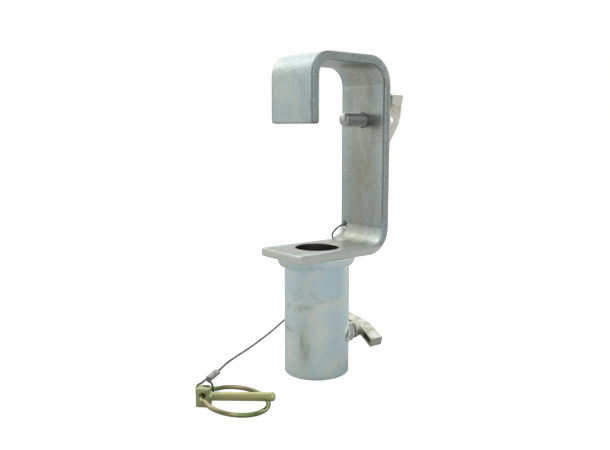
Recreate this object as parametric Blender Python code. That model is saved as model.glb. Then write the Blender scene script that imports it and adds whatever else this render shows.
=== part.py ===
"""Hook clamp with a spigot socket, two wing bolts and a linch pin on a wire lanyard.

Metres, +Z up. The clamp stands on the lower face of its socket tube at z = 0, the bar's
width runs along Y, the hook opens towards -X and both wing bolts point towards +X.
"""
import math

import bmesh
import bpy
from mathutils import Matrix, Vector

MM = 0.001
GAP = 0.3 * MM                  # left between pieces that touch

# Flat bar of the hook, measured from the socket's axis
BAR_WIDTH = 45 * MM
BAR_THICK = 6 * MM
BAR_EDGE = 0.6 * MM             # radius of the rolled long edges
HOOK_TOP = 218 * MM
LIP_BOTTOM = 172 * MM
LIP_REACH = 22.1 * MM           # outer face of the lip, ahead of the socket's axis
BACK_REACH = 47 * MM            # outer face of the back, behind the socket's axis
FOOT_TOP = 88 * MM
FOOT_REACH = 31.2 * MM          # front edge of the foot
LIP_BEND = 14.8 * MM            # outer radii of the three bends
BACK_BEND = 18.6 * MM
FOOT_BEND = 17.3 * MM

# Socket tube
TUBE_RADIUS = 22.5 * MM
SOCKET_RADIUS = 15.1 * MM
TUBE_TOP = FOOT_TOP - BAR_THICK - GAP

# Clamp bolt, M10, and lock bolt, M8
CLAMP_HEIGHT = 175.2 * MM
CLAMP_TIP = 22.8 * MM
CLAMP_SEAT = 59.3 * MM          # thread side of the wing head
CLAMP_TILT = math.radians(22)   # lean of the wing from upright, its upper arm towards -Y
LOCK_HEIGHT = 23.4 * MM
LOCK_TIP = 5.5 * MM
LOCK_SEAT = 31 * MM
LOCK_TILT = math.radians(-76)
LOCK_YAW = math.radians(-4)     # the welded nut sits a little off the middle
M10_RADIUS = 4.9 * MM
M10_HOLE = 5.25 * MM
M8_RADIUS = 3.9 * MM
M8_HOLE = 4.25 * MM
NUT_ACROSS_FLATS = 13 * MM
NUT_FACE = 29.4 * MM
STUD_CHAMFER = 0.46             # of the stud's radius

# Bead under the foot, where the foot overhangs the tube and beside the bar's edges
BEAD_REACH = (6.0 * MM, 1.6 * MM)
BEAD_DROP = (6.8 * MM, 5.6 * MM)
BEAD_RIPPLE = 0.25 * MM
BEAD_RIPPLES = 18

# Wing head, along the bolt's axis from its seat
WING_LENGTH = 16.4 * MM
WING_HALF_SPAN = 20.6 * MM
WING_THICK = 6.4 * MM
WING_WALL = 1.3 * MM
HUB_RADIUS = 6 * MM
TAIL_RADIUS = 2.9 * MM          # end of the stud that the head is cast round
TAIL_LENGTH = 9 * MM

# Linch pin, laid on the floor in front of the clamp
PIN_PLACE = (-93.2 * MM, -5.8 * MM)
PIN_YAW = math.radians(-46.5)
HEAD_SIZE = (8.8 * MM, 7.6 * MM, 11.9 * MM)
HEAD_MIDDLE = 6.05 * MM
SHANK_RADIUS = 2.75 * MM
SHANK_LENGTH = 40 * MM
SHANK_PITCH = math.radians(2.5)  # the ring lies under the tip and lifts it
EYE_HEIGHT = 7.2 * MM            # cross hole of the head
EYE_RADIUS = 1.85 * MM
RING_WIRE = 1.45 * MM
RING_RADIUS = 19.6 * MM
RING_ADVANCE = 20.6 * MM         # from the cross hole to the ring's centre
RING_PITCH = math.radians(8.1)

# Lanyard
ROPE_RADIUS = 0.75 * MM
LANYARD_HOLE = (18.0 * MM, 98.7 * MM)
LANYARD_HOLE_RADIUS = 2.3 * MM
FERRULE_LENGTH = 9 * MM
FERRULE_WIDE = 2.3 * MM
FERRULE_FLAT = 1.6 * MM

# The origin lies midway between the foot's edge and the end of the clamp bolt
CLAMP_END = CLAMP_SEAT + WING_LENGTH
AXIS_X = (FOOT_REACH - CLAMP_END) / 2
ROUND_STEPS = 48


def clear_scene():
    for found in list(bpy.data.objects):
        bpy.data.objects.remove(found, do_unlink=True)


def finish(name, colour, roughness, metallic):
    made = bpy.data.materials.new(name)
    made.use_nodes = True
    shader = made.node_tree.nodes["Principled BSDF"]
    shader.inputs["Base Color"].default_value = (*colour, 1)
    shader.inputs["Roughness"].default_value = roughness
    shader.inputs["Metallic"].default_value = metallic
    return made


def empty(name, place, turn=(0, 0, 0), parent=None):
    made = bpy.data.objects.new(name, None)
    bpy.context.collection.objects.link(made)
    made.location = place
    made.rotation_euler = turn
    made.parent = parent
    return made


def add_object(name, work, material, parent=None):
    """Turns a bmesh into a smooth-shaded object with its faces pointing out."""
    bmesh.ops.recalc_face_normals(work, faces=work.faces)
    mesh = bpy.data.meshes.new(name)
    work.to_mesh(mesh)
    work.free()
    mesh.shade_smooth()
    mesh.set_sharp_from_angle(angle=math.radians(35))
    made = bpy.data.objects.new(name, mesh)
    bpy.context.collection.objects.link(made)
    made.parent = parent
    if material:
        mesh.materials.append(material)
    return made


def turned(outline, steps=ROUND_STEPS):
    """A solid turned about X from (x, radius) points. A radius of 0 closes an end."""
    work = bmesh.new()
    rings = []
    for x, radius in outline:
        if radius == 0:
            rings.append([work.verts.new((x, 0, 0))])
            continue
        angles = [math.tau * step / steps for step in range(steps)]
        rings.append([work.verts.new((x, radius * math.cos(a), radius * math.sin(a))) for a in angles])
    if len(rings[0]) > 1:
        rings.append(rings[0])
    for first, second in zip(rings[:-1], rings[1:]):
        for step in range(steps):
            after = (step + 1) % steps
            corners = [first[step % len(first)], first[after % len(first)]]
            corners += [second[after % len(second)], second[step % len(second)]]
            work.faces.new(list(dict.fromkeys(corners)))
    return work


def extruded(outline, low, high):
    """A prism over closed (x, z) points, from y = low to y = high."""
    work = bmesh.new()
    near = [work.verts.new((x, low, z)) for x, z in outline]
    far = [work.verts.new((x, high, z)) for x, z in outline]
    work.faces.new(near)
    work.faces.new(far[::-1])
    for index in range(len(near)):
        after = (index + 1) % len(near)
        work.faces.new([near[index], far[index], far[after], near[after]])
    return work


def block(size, centre):
    work = bmesh.new()
    bmesh.ops.create_cube(work, size=1)
    bmesh.ops.scale(work, vec=size, verts=work.verts)
    bmesh.ops.translate(work, vec=centre, verts=work.verts)
    return work


def combine(target, name, work, operation, parent=None, place=None, turn=None):
    """Cuts a shape out of a piece, or joins one to it, and keeps the shape as a hidden guide."""
    tool = add_object(name, work, None, parent)
    tool.hide_render = True
    tool.display_type = "WIRE"
    if place:
        tool.location = place
    if turn:
        tool.rotation_euler = turn
    change = target.modifiers.new(name, "BOOLEAN")
    change.operation = operation
    change.solver = "EXACT"
    change.object = tool
    return tool


def soften(piece, width, segments=2):
    rounding = piece.modifiers.new("Rounded edges", "BEVEL")
    rounding.width = width
    rounding.segments = segments
    rounding.limit_method = "ANGLE"
    rounding.angle_limit = math.radians(50)
    return rounding


def drill(radius, start, end):
    return turned([(start, 0), (start, radius), (end, radius), (end, 0)])


def arc(centre, radius, start, end, steps):
    angles = [math.radians(start + (end - start) * step / steps) for step in range(steps + 1)]
    return [(centre[0] + radius * math.cos(a), centre[1] + radius * math.sin(a)) for a in angles]


def smooth_route(points, spacing):
    """Evenly spaced points on a Catmull-Rom curve through the given ones."""
    knots = [Vector(point) for point in points]
    knots = [2 * knots[0] - knots[1]] + knots + [2 * knots[-1] - knots[-2]]
    fine = []
    for a, b, c, d in zip(knots[:-3], knots[1:-2], knots[2:-1], knots[3:]):
        for step in range(40):
            t = step / 40
            bend = (2 * a - 5 * b + 4 * c - d) * t * t + (3 * b - a - 3 * c + d) * t ** 3
            fine.append(b + ((c - a) * t + bend) / 2)
    fine.append(knots[-2])
    lengths = [0]
    for a, b in zip(fine[:-1], fine[1:]):
        lengths.append(lengths[-1] + (b - a).length)
    count = max(2, round(lengths[-1] / spacing))
    even = []
    index = 0
    for step in range(count + 1):
        wanted = lengths[-1] * step / count
        while index < len(fine) - 2 and lengths[index + 1] < wanted:
            index += 1
        span = lengths[index + 1] - lengths[index]
        even.append(fine[index].lerp(fine[index + 1], (wanted - lengths[index]) / span))
    return even


def wire(name, points, radius, material, parent=None, sides=2):
    """A round wire along a poly spline, with its ends capped."""
    curve = bpy.data.curves.new(name, "CURVE")
    curve.dimensions = "3D"
    curve.bevel_depth = radius
    curve.bevel_resolution = sides
    curve.use_fill_caps = True
    spline = curve.splines.new("POLY")
    spline.points.add(len(points) - 1)
    for knot, point in zip(spline.points, points):
        knot.co = (*point, 1)
    curve.materials.append(material)
    made = bpy.data.objects.new(name, curve)
    bpy.context.collection.objects.link(made)
    made.parent = parent
    return made


def hook_outline():
    """The bent bar from the side: outer face from the lip round to the foot, then back inside."""
    outer = [(-LIP_REACH, LIP_BOTTOM)]
    outer += arc((-LIP_REACH + LIP_BEND, HOOK_TOP - LIP_BEND), LIP_BEND, 180, 90, 10)
    outer += arc((BACK_REACH - BACK_BEND, HOOK_TOP - BACK_BEND), BACK_BEND, 90, 0, 10)
    foot_bottom = FOOT_TOP - BAR_THICK
    outer += arc((BACK_REACH - FOOT_BEND, foot_bottom + FOOT_BEND), FOOT_BEND, 0, -90, 10)
    outer += [(-FOOT_REACH, foot_bottom)]
    inner = [(-LIP_REACH + BAR_THICK, LIP_BOTTOM)]
    inner += arc((-LIP_REACH + LIP_BEND, HOOK_TOP - LIP_BEND), LIP_BEND - BAR_THICK, 180, 90, 10)
    inner += arc((BACK_REACH - BACK_BEND, HOOK_TOP - BACK_BEND), BACK_BEND - BAR_THICK, 90, 0, 10)
    inner += arc((BACK_REACH - FOOT_BEND, foot_bottom + FOOT_BEND), FOOT_BEND - BAR_THICK, 0, -90, 10)
    inner += [(-FOOT_REACH, FOOT_TOP)]
    return outer + inner[::-1]


def make_hook(axis, zinc):
    hook = add_object("hook_strap", extruded(hook_outline(), -BAR_WIDTH / 2, BAR_WIDTH / 2), zinc, axis)
    soften(hook, BAR_EDGE)
    upright = (0, math.radians(-90), 0)
    combine(hook, "cut_socket_mouth", drill(SOCKET_RADIUS, FOOT_TOP - 12 * MM, FOOT_TOP + 6 * MM),
            "DIFFERENCE", axis, turn=upright)
    combine(hook, "cut_clamp_hole", drill(M10_HOLE, BACK_REACH - 12 * MM, BACK_REACH + 6 * MM),
            "DIFFERENCE", axis, place=(0, 0, CLAMP_HEIGHT))
    combine(hook, "cut_lanyard_hole", drill(LANYARD_HOLE_RADIUS, BACK_REACH - 12 * MM, BACK_REACH + 6 * MM),
            "DIFFERENCE", axis, place=(0, LANYARD_HOLE[0], LANYARD_HOLE[1]))


def make_socket(axis, lock, zinc):
    lead = 0.8 * MM
    outline = [(0, SOCKET_RADIUS + lead), (lead, SOCKET_RADIUS), (TUBE_TOP, SOCKET_RADIUS)]
    outline += [(TUBE_TOP, TUBE_RADIUS), (lead, TUBE_RADIUS), (0, TUBE_RADIUS - lead)]
    tube = add_object("socket_tube", turned(outline, 64), zinc, axis)
    tube.rotation_euler = (0, math.radians(-90), 0)
    combine(tube, "cut_lock_hole", drill(M8_HOLE, 8 * MM, 30 * MM), "DIFFERENCE", lock)


def fillet_ring(steps=72):
    """The weld bead under the foot: wide ahead and behind, thin beside the bar's edges."""
    work = bmesh.new()
    inside = TUBE_RADIUS + GAP
    top = FOOT_TOP - BAR_THICK - GAP
    rings = []
    for step in range(steps):
        angle = math.tau * step / steps
        ripple = BEAD_RIPPLE * math.cos(BEAD_RIPPLES * angle)
        overhang = math.cos(angle) ** 2
        reach = BEAD_REACH[1] + (BEAD_REACH[0] - BEAD_REACH[1]) * overhang + ripple
        drop = BEAD_DROP[1] + (BEAD_DROP[0] - BEAD_DROP[1]) * overhang + ripple
        bead = [(inside, 0), (inside + reach, 0), (inside + 0.95 * reach, 0.3 * drop)]
        bead += [(inside + 0.5 * reach, 0.75 * drop), (inside + 0.12 * reach, drop), (inside, drop)]
        across = Vector((math.cos(angle), math.sin(angle), 0))
        rings.append([work.verts.new(across * out + Vector((0, 0, top - down))) for out, down in bead])
    for first, second in zip(rings, rings[1:] + rings[:1]):
        for index in range(len(first)):
            after = (index + 1) % len(first)
            work.faces.new([first[index], first[after], second[after], second[index]])
    return work


def make_nut(lock, zinc):
    """A hexagon nut, saddled onto the tube, and the bead that welds it there."""
    corner = NUT_ACROSS_FLATS / math.sqrt(3)
    blank = [(18 * MM, 0), (18 * MM, corner), (NUT_FACE, corner), (NUT_FACE, 0)]
    nut = add_object("lock_nut", turned(blank, 6), zinc, lock)
    crown = [(16 * MM, 0), (16 * MM, corner + MM), (NUT_FACE - 1.1 * MM, corner + 0.6 * MM)]
    crown += [(NUT_FACE, NUT_ACROSS_FLATS / 2 - 0.3 * MM), (NUT_FACE, 0)]
    combine(nut, "trim_nut_corners", turned(crown), "INTERSECT", lock)
    combine(nut, "cut_nut_thread", drill(M8_HOLE, 14 * MM, 32 * MM), "DIFFERENCE", lock)
    foot = [(18 * MM, corner + GAP), (18 * MM, corner + 3 * MM), (21.8 * MM, corner + 3 * MM)]
    foot += [(23.8 * MM, corner + 1.6 * MM), (24.6 * MM, corner + GAP)]
    bead = add_object("lock_nut_weld", turned(foot), zinc, lock)
    upright = (0, math.radians(-90), 0)
    for piece in (nut, bead):
        combine(piece, "cut_saddle_" + piece.name, drill(TUBE_RADIUS + GAP, -20 * MM, 20 * MM),
                "DIFFERENCE", lock, turn=upright)


def make_stud(name, radius, tip, seat, axis, zinc):
    """A threaded stud along X: chamfered tip, shank, and the tail that the head is cast round."""
    chamfer = STUD_CHAMFER * radius
    outline = [(tip, 0), (tip, radius - chamfer), (tip + chamfer, radius), (seat - GAP, radius)]
    outline += [(seat - GAP, TAIL_RADIUS), (seat + TAIL_LENGTH, TAIL_RADIUS), (seat + TAIL_LENGTH, 0)]
    return add_object(name, turned(outline, 32), zinc, axis)


def make_wing(name, seat, tilt, axis, cast):
    """A cast wing head with swept arms, hollow on the side that faces the thread."""
    sweep_in = 5.1 * MM
    sweep_out = 4.2 * MM
    inner = 6.7 * MM
    arms = [(inner, 0), (inner - sweep_in, WING_HALF_SPAN), (WING_LENGTH - sweep_out, WING_HALF_SPAN)]
    arms += [(WING_LENGTH - 0.6 * MM, 3 * MM), (WING_LENGTH - 0.6 * MM, -3 * MM)]
    arms += [(WING_LENGTH - sweep_out, -WING_HALF_SPAN), (inner - sweep_in, -WING_HALF_SPAN)]
    wing = add_object(name, extruded(arms, -WING_THICK / 2, WING_THICK / 2), cast, axis)
    wing.location = (seat, 0, 0)
    wing.rotation_euler = (tilt, 0, 0)
    hub = [(0, 0), (0, HUB_RADIUS - 0.4 * MM), (0.4 * MM, HUB_RADIUS), (WING_LENGTH - 1.5 * MM, HUB_RADIUS)]
    hub += [(WING_LENGTH - 0.4 * MM, HUB_RADIUS - 1.3 * MM), (WING_LENGTH, HUB_RADIUS - 3.4 * MM)]
    hub += [(WING_LENGTH, 0)]
    combine(wing, name + "_hub", turned(hub, 32), "UNION", wing)
    for side in (1, -1):
        near = 7.3 * MM
        far = WING_HALF_SPAN - WING_WALL - 0.2 * MM
        floor_near = WING_LENGTH - 0.2 * near - WING_WALL - 0.6 * MM
        floor_far = WING_LENGTH - 0.2 * far - WING_WALL - 0.6 * MM
        hollow = [(-2 * MM, side * near), (floor_near, side * near)]
        hollow += [(floor_far, side * far), (-2 * MM, side * far)]
        inside = WING_THICK / 2 - WING_WALL
        combine(wing, name + f"_hollow_{side}", extruded(hollow, -inside, inside), "DIFFERENCE", wing)
    combine(wing, name + "_socket", drill(TAIL_RADIUS + GAP, -MM, TAIL_LENGTH + GAP), "DIFFERENCE", wing)
    return wing


def make_linch_pin(laid, plated):
    """The forged pin: a block head, flat outside and rounded to the shank, and the shank."""
    long, deep, tall = HEAD_SIZE
    outline = [(-long / 2, -deep / 2), (long / 4, -deep / 2)]
    outline += [(long / 2, -deep / 3), (long / 2, deep / 3), (long / 4, deep / 2), (-long / 2, deep / 2)]
    head = extruded([(x, y) for x, y in outline], -tall / 2, tall / 2)
    bmesh.ops.rotate(head, cent=(0, 0, 0), matrix=Matrix.Rotation(math.radians(90), 3, "X"), verts=head.verts)
    bmesh.ops.translate(head, vec=(0, 0, HEAD_MIDDLE), verts=head.verts)
    pin = add_object("linch_pin", head, plated, laid)
    soften(pin, 0.5 * MM)
    tip = long / 2 + SHANK_LENGTH
    shank = [(0, 0), (0, SHANK_RADIUS), (tip - 1.2 * MM, SHANK_RADIUS)]
    shank += [(tip, SHANK_RADIUS - 0.9 * MM), (tip, 0)]
    combine(pin, "join_shank", turned(shank, 32), "UNION", laid,
            place=(0, 0, HEAD_MIDDLE), turn=(0, -SHANK_PITCH, 0))
    combine(pin, "cut_ring_eye", drill(EYE_RADIUS, -deep, deep), "DIFFERENCE", laid,
            place=(0, 0, EYE_HEIGHT), turn=(0, 0, math.radians(90)))


def ring_route():
    """Out of the cross hole, round the circle and back in, in the ring's own plane."""
    joins = math.radians(146)
    start = [(0, 0.6 * MM), (0, 3.4 * MM), (0, 6.6 * MM), (1.5 * MM, 9.6 * MM)]
    steps = 18
    angles = [joins - 2 * joins * step / steps for step in range(steps + 1)]
    turn = [(RING_ADVANCE + RING_RADIUS * math.cos(a), RING_RADIUS * math.sin(a)) for a in angles]
    route = start + turn + [(x, -y) for x, y in start[::-1]]
    return smooth_route([(x, y, 0) for x, y in route], 2.4 * MM)


def make_ring(laid, plated):
    tilt = empty("ring_hinge", (0, 0, EYE_HEIGHT), (0, RING_PITCH, 0), laid)
    wire("linch_ring", ring_route(), RING_WIRE, plated, tilt, sides=3)


def square_to(along, wide):
    """The direction nearest to `wide` at right angles to `along`."""
    return (wide - along * wide.dot(along)).normalized()


def make_ferrule(name, start, end, wide, alloy):
    """A crimped oval sleeve between two points, with its wires side by side along `wide`."""
    along = (end - start).normalized()
    level = square_to(along, wide)
    turn = Matrix((level, along, level.cross(along))).transposed()
    flank = FERRULE_WIDE - FERRULE_FLAT
    outline = arc((flank, 0), FERRULE_FLAT, -90, 90, 6) + arc((-flank, 0), FERRULE_FLAT, 90, 270, 6)
    work = extruded(outline, 0, (end - start).length)
    bmesh.ops.transform(work, matrix=Matrix.Translation(start) @ turn.to_4x4(), verts=work.verts)
    return add_object(name, work, alloy)


def on_clamp(x, y, z):
    return Vector((AXIS_X + x * MM, y * MM, z * MM))


def by_pin(x, y, z):
    """A point given along the pin, behind it and above the floor, in millimetres."""
    turn = Matrix.Rotation(PIN_YAW, 3, "Z")
    return Vector((AXIS_X + PIN_PLACE[0], PIN_PLACE[1], 0)) + turn @ (Vector((x, y, z)) * MM)


def make_lanyard(rope, alloy):
    """Wire rope from the hole in the bar's back to the pin, with a crimped eye at each end."""
    upper = on_clamp(38.2, 27.9, 84.6)
    down = Vector((-0.16, 0.09, -0.98)).normalized()
    lower = upper + down * FERRULE_LENGTH
    upper_side = square_to(down, Vector((1, 0, 0)))
    make_ferrule("ferrule_hook", upper, lower, upper_side, alloy)
    far_end = by_pin(0.9, 6.6, 14.5)
    back = (on_clamp(-68.8, 3.5, 20) - far_end).normalized()
    near_end = far_end + back * FERRULE_LENGTH
    far_side = square_to(back, Matrix.Rotation(PIN_YAW, 3, "Z") @ Vector((1, 0, 0)))
    make_ferrule("ferrule_pin", far_end, near_end, far_side, alloy)

    leave = down * GAP
    arrive = back * GAP
    run = [lower + leave, on_clamp(35.6, 29.3, 69), on_clamp(30.5, 30, 59), on_clamp(21, 29.2, 48.5)]
    run += [on_clamp(6, 26.2, 39.6), on_clamp(-14, 20.8, 33.0), on_clamp(-29.3, 15.9, 28.4)]
    run += [on_clamp(-49.8, 9.5, 23.7), on_clamp(-68.8, 4.0, 20.2), near_end + arrive]
    wire("lanyard_rope", smooth_route(run, 3.2 * MM), ROPE_RADIUS, rope)

    side = upper_side * 0.95 * MM
    eye = [upper - leave + side, upper - 6 * leave + side, on_clamp(42.5, 27.7, 89)]
    eye += [on_clamp(48.2, 26.3, 93.5), on_clamp(50.8, 22.6, 97.2), on_clamp(48.9, 18.9, 99.2)]
    eye += [on_clamp(44.1, 18.0, 99.2)]
    eye += [on_clamp(39.6, 18.9, 98.2), on_clamp(36.4, 21.9, 95.2), on_clamp(35.4, 25.4, 90.8)]
    eye += [upper - 6 * leave - side, upper - leave - side]
    wire("lanyard_eye_hook", smooth_route(eye, 2.2 * MM), ROPE_RADIUS, rope)

    side = far_side * 0.95 * MM
    loop = [far_end - arrive - side, far_end - 6 * arrive - side, by_pin(-2.6, 5.4, 12.6)]
    loop += [by_pin(-5.6, 5.2, 10.6), by_pin(-6.4, 5.2, 7.4)]
    loop += [by_pin(-4.8, 5.2, 4.4), by_pin(-1.6, 5.2, 3.1), by_pin(1.6, 5.2, 3.6), by_pin(3.8, 5.2, 6.2)]
    loop += [by_pin(4.0, 5.3, 9.6), by_pin(3.0, 5.7, 12.4)]
    loop += [far_end - 6 * arrive + side, far_end - arrive + side]
    wire("lanyard_eye_pin", smooth_route(loop, 2.2 * MM), ROPE_RADIUS, rope)


def build():
    clear_scene()
    zinc = finish("zinc_plate", (0.58, 0.60, 0.58), 0.38, 1.0)
    cast = finish("zinc_casting", (0.62, 0.62, 0.55), 0.42, 1.0)
    plated = finish("yellow_passivate", (0.50, 0.48, 0.26), 0.30, 1.0)
    rope = finish("steel_rope", (0.42, 0.42, 0.40), 0.45, 1.0)
    alloy = finish("crimped_alloy", (0.45, 0.45, 0.43), 0.50, 1.0)

    axis = empty("socket_axis", (AXIS_X, 0, 0))
    clamp = empty("clamp_axis", (0, 0, CLAMP_HEIGHT), parent=axis)
    lock = empty("lock_axis", (0, 0, LOCK_HEIGHT), (0, 0, LOCK_YAW), axis)

    make_hook(axis, zinc)
    make_socket(axis, lock, zinc)
    add_object("socket_weld", fillet_ring(), zinc, axis)
    make_nut(lock, zinc)
    make_stud("clamp_stud", M10_RADIUS, CLAMP_TIP, CLAMP_SEAT, clamp, zinc)
    make_wing("clamp_wing", CLAMP_SEAT, CLAMP_TILT, clamp, cast)
    make_stud("lock_stud", M8_RADIUS, LOCK_TIP, LOCK_SEAT, lock, zinc)
    make_wing("lock_wing", LOCK_SEAT, LOCK_TILT, lock, cast)

    laid = empty("pin_laid", (PIN_PLACE[0], PIN_PLACE[1], 0), (0, 0, PIN_YAW), axis)
    make_linch_pin(laid, plated)
    make_ring(laid, plated)
    make_lanyard(rope, alloy)


build()
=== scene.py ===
"""Looks of a hook clamp with a spigot socket, two wing bolts and a linch pin on a wire lanyard."""

import math

import bmesh
import bpy
import numpy as np
from mathutils import Matrix, Vector


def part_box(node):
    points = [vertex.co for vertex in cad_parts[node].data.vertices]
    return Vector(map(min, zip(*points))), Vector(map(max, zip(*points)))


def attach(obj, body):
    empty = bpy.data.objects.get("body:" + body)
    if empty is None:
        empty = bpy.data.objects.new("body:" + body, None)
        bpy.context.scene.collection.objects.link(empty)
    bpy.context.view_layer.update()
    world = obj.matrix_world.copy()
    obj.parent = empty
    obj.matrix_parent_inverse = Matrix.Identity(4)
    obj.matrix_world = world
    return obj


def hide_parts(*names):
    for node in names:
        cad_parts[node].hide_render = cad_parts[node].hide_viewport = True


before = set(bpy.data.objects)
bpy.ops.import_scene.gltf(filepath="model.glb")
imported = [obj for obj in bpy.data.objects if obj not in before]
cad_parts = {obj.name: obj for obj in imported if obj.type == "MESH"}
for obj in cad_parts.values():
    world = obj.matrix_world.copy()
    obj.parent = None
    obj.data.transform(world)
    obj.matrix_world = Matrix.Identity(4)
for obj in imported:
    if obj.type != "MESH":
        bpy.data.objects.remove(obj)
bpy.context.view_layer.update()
MM = 0.001


# ---------------------------------------------------------------------------------------------
# Viewpoint. The clamp stands upright on its socket, seen from in front of the lip and a little
# above. Everything is placed from the socket's axis, which runs along Z.
# ---------------------------------------------------------------------------------------------
socket_low, socket_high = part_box("socket_tube")
axis_x = (socket_low.x + socket_high.x) / 2
eye_right = Vector((0.77206, -0.63553, 0.00490))
eye_up = Vector((0.08627, 0.11244, 0.98991))
eye_back = Vector((-0.62967, -0.76385, 0.14164))
camera_data = bpy.data.cameras.new("view")
camera_data.sensor_width = 36
camera_data.lens = 39.293
camera_data.shift_x = -0.0328
camera_data.shift_y = 0.0006
camera_data.clip_start = 0.01
camera = bpy.data.objects.new("view", camera_data)
bpy.context.collection.objects.link(camera)
camera.matrix_world = (
    Matrix.Translation(Vector((axis_x - 0.28422, -0.35339, 0.16799)))
    @ Matrix((eye_right, eye_up, eye_back)).transposed().to_4x4()
)
bpy.context.scene.camera = camera


# ---------------------------------------------------------------------------------------------
# Hook. One length of 45 x 6 mm flat steel bar, sheared to length, pressed into three bends and
# zinc plated after welding. The bar bulges inside each bend and the press leaves a crease there.
# ---------------------------------------------------------------------------------------------
BAR_THICK = 6 * MM
BAR_CORNER = 1.25 * MM
SHEARED_EDGE = 1.1 * MM
LIP_CORNER = 2.2 * MM
FOOT_CORNER = 0.9 * MM
END_ROWS = 2.4 * MM
BEND_BULGE = 0.3 * MM
CREASE_DEPTH = 0.16 * MM
LIP_BEND = 14.8 * MM
BACK_BEND = 18.6 * MM
FOOT_BEND = 17.3 * MM
FOOT_TOP = 88 * MM
hook_low, hook_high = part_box("hook_strap")


def add_mesh(name, points, faces):
    """A smooth-shaded object from points and faces, with its faces turned outwards."""
    mesh = bpy.data.meshes.new(name)
    mesh.from_pydata([tuple(point) for point in points], [], faces)
    work = bmesh.new()
    work.from_mesh(mesh)
    bmesh.ops.remove_doubles(work, verts=work.verts, dist=1e-7)
    bmesh.ops.recalc_face_normals(work, faces=work.faces)
    work.to_mesh(mesh)
    work.free()
    mesh.shade_smooth()
    made = bpy.data.objects.new(name, mesh)
    bpy.context.collection.objects.link(made)
    return made


def settle(piece, crease_angle=32):
    """Applies a piece's modifiers and place, so that it sits at the origin as a plain mesh."""
    bpy.context.view_layer.update()
    shown = piece.evaluated_get(bpy.context.evaluated_depsgraph_get())
    mesh = bpy.data.meshes.new_from_object(shown)
    mesh.transform(piece.matrix_world)
    piece.modifiers.clear()
    piece.data = mesh
    piece.matrix_world = Matrix.Identity(4)
    mesh.shade_smooth()
    if crease_angle:
        mesh.set_sharp_from_angle(angle=math.radians(crease_angle))
    return piece


def cut_away(piece, cutters, operation="DIFFERENCE"):
    """Cuts or joins each shape into the piece and removes the shape."""
    for cutter in cutters:
        change = piece.modifiers.new(cutter.name, "BOOLEAN")
        change.operation = operation
        change.solver = "EXACT"
        change.object = cutter
    settle(piece)
    for cutter in cutters:
        bpy.data.objects.remove(cutter, do_unlink=True)
    return piece


def turned(name, outline, direction, start, steps=96):
    """A solid turned about a line from (distance, radius) points. A radius of 0 closes an end."""
    toward = Vector(direction).normalized()
    side = toward.orthogonal().normalized()
    rise = toward.cross(side)
    points = []
    faces = []
    for distance, radius in outline:
        for step in range(steps):
            angle = math.tau * step / steps
            out = side * math.cos(angle) + rise * math.sin(angle)
            points.append(Vector(start) + toward * distance + out * radius)
    rows = len(outline)
    for row in range(rows - 1):
        for step in range(steps):
            after = (step + 1) % steps
            faces.append([row * steps + step, row * steps + after,
                          (row + 1) * steps + after, (row + 1) * steps + step])
    return add_mesh(name, points, faces)


# The bar's outer face as straight runs and bends: start point, heading, length or bend radius
lip_x = axis_x - 22.1 * MM
back_x = hook_high.x
corner_runs = [
    ("run", (lip_x, hook_low.z + 90 * MM), (0, 1), hook_high.z - LIP_BEND - (hook_low.z + 90 * MM)),
    ("bend", (lip_x + LIP_BEND, hook_high.z - LIP_BEND), (math.pi, math.pi / 2), LIP_BEND),
    ("run", (lip_x + LIP_BEND, hook_high.z), (1, 0), back_x - BACK_BEND - lip_x - LIP_BEND),
    ("bend", (back_x - BACK_BEND, hook_high.z - BACK_BEND), (math.pi / 2, 0), BACK_BEND),
    ("run", (back_x, hook_high.z - BACK_BEND), (0, -1), hook_high.z - BACK_BEND - hook_low.z - FOOT_BEND),
    ("bend", (back_x - FOOT_BEND, hook_low.z + FOOT_BEND), (0, -math.pi / 2), FOOT_BEND),
    ("run", (back_x - FOOT_BEND, hook_low.z), (-1, 0), back_x - FOOT_BEND - hook_low.x),
]
stations = []
for order, (kind, start, turn, size) in enumerate(corner_runs):
    if kind == "run":
        steps = max(8, round(size / (1.2 * MM)))
        for step in range(steps):
            reach = size * step / steps
            outward = (-turn[1], turn[0])
            from_bend = size if order == 0 else reach
            to_bend = size if order == len(corner_runs) - 1 else size - reach
            near_bend = min(from_bend, to_bend)
            if size in (from_bend, to_bend) and min(reach, size - reach) < END_ROWS and near_bend > END_ROWS:
                continue
            stations.append((start[0] + turn[0] * reach, start[1] + turn[1] * reach, *outward,
                             math.exp(-((near_bend / (2.5 * MM)) ** 2)) * 0.5, near_bend))
    else:
        for step in range(28):
            angle = turn[0] + (turn[1] - turn[0]) * step / 28
            outward = (math.cos(angle), math.sin(angle))
            inside = min(step, 28 - step) / 28 * math.pi / 2 * size
            stations.append((start[0] + outward[0] * size, start[1] + outward[1] * size, *outward,
                             0.5 + 0.5 * min(1, inside / (3 * MM)), inside))
stations.append((hook_low.x, hook_low.z, 0.0, -1.0, 0.0, 99.0))
stations = np.array(stations)
lip_end = np.array([lip_x, hook_low.z + 90 * MM, -1.0, 0.0, 0.0, 99.0])
foot_end = stations[-1].copy()
half_width = (hook_high.y - hook_low.y) / 2
flat_steps = 20
loop = []
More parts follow.
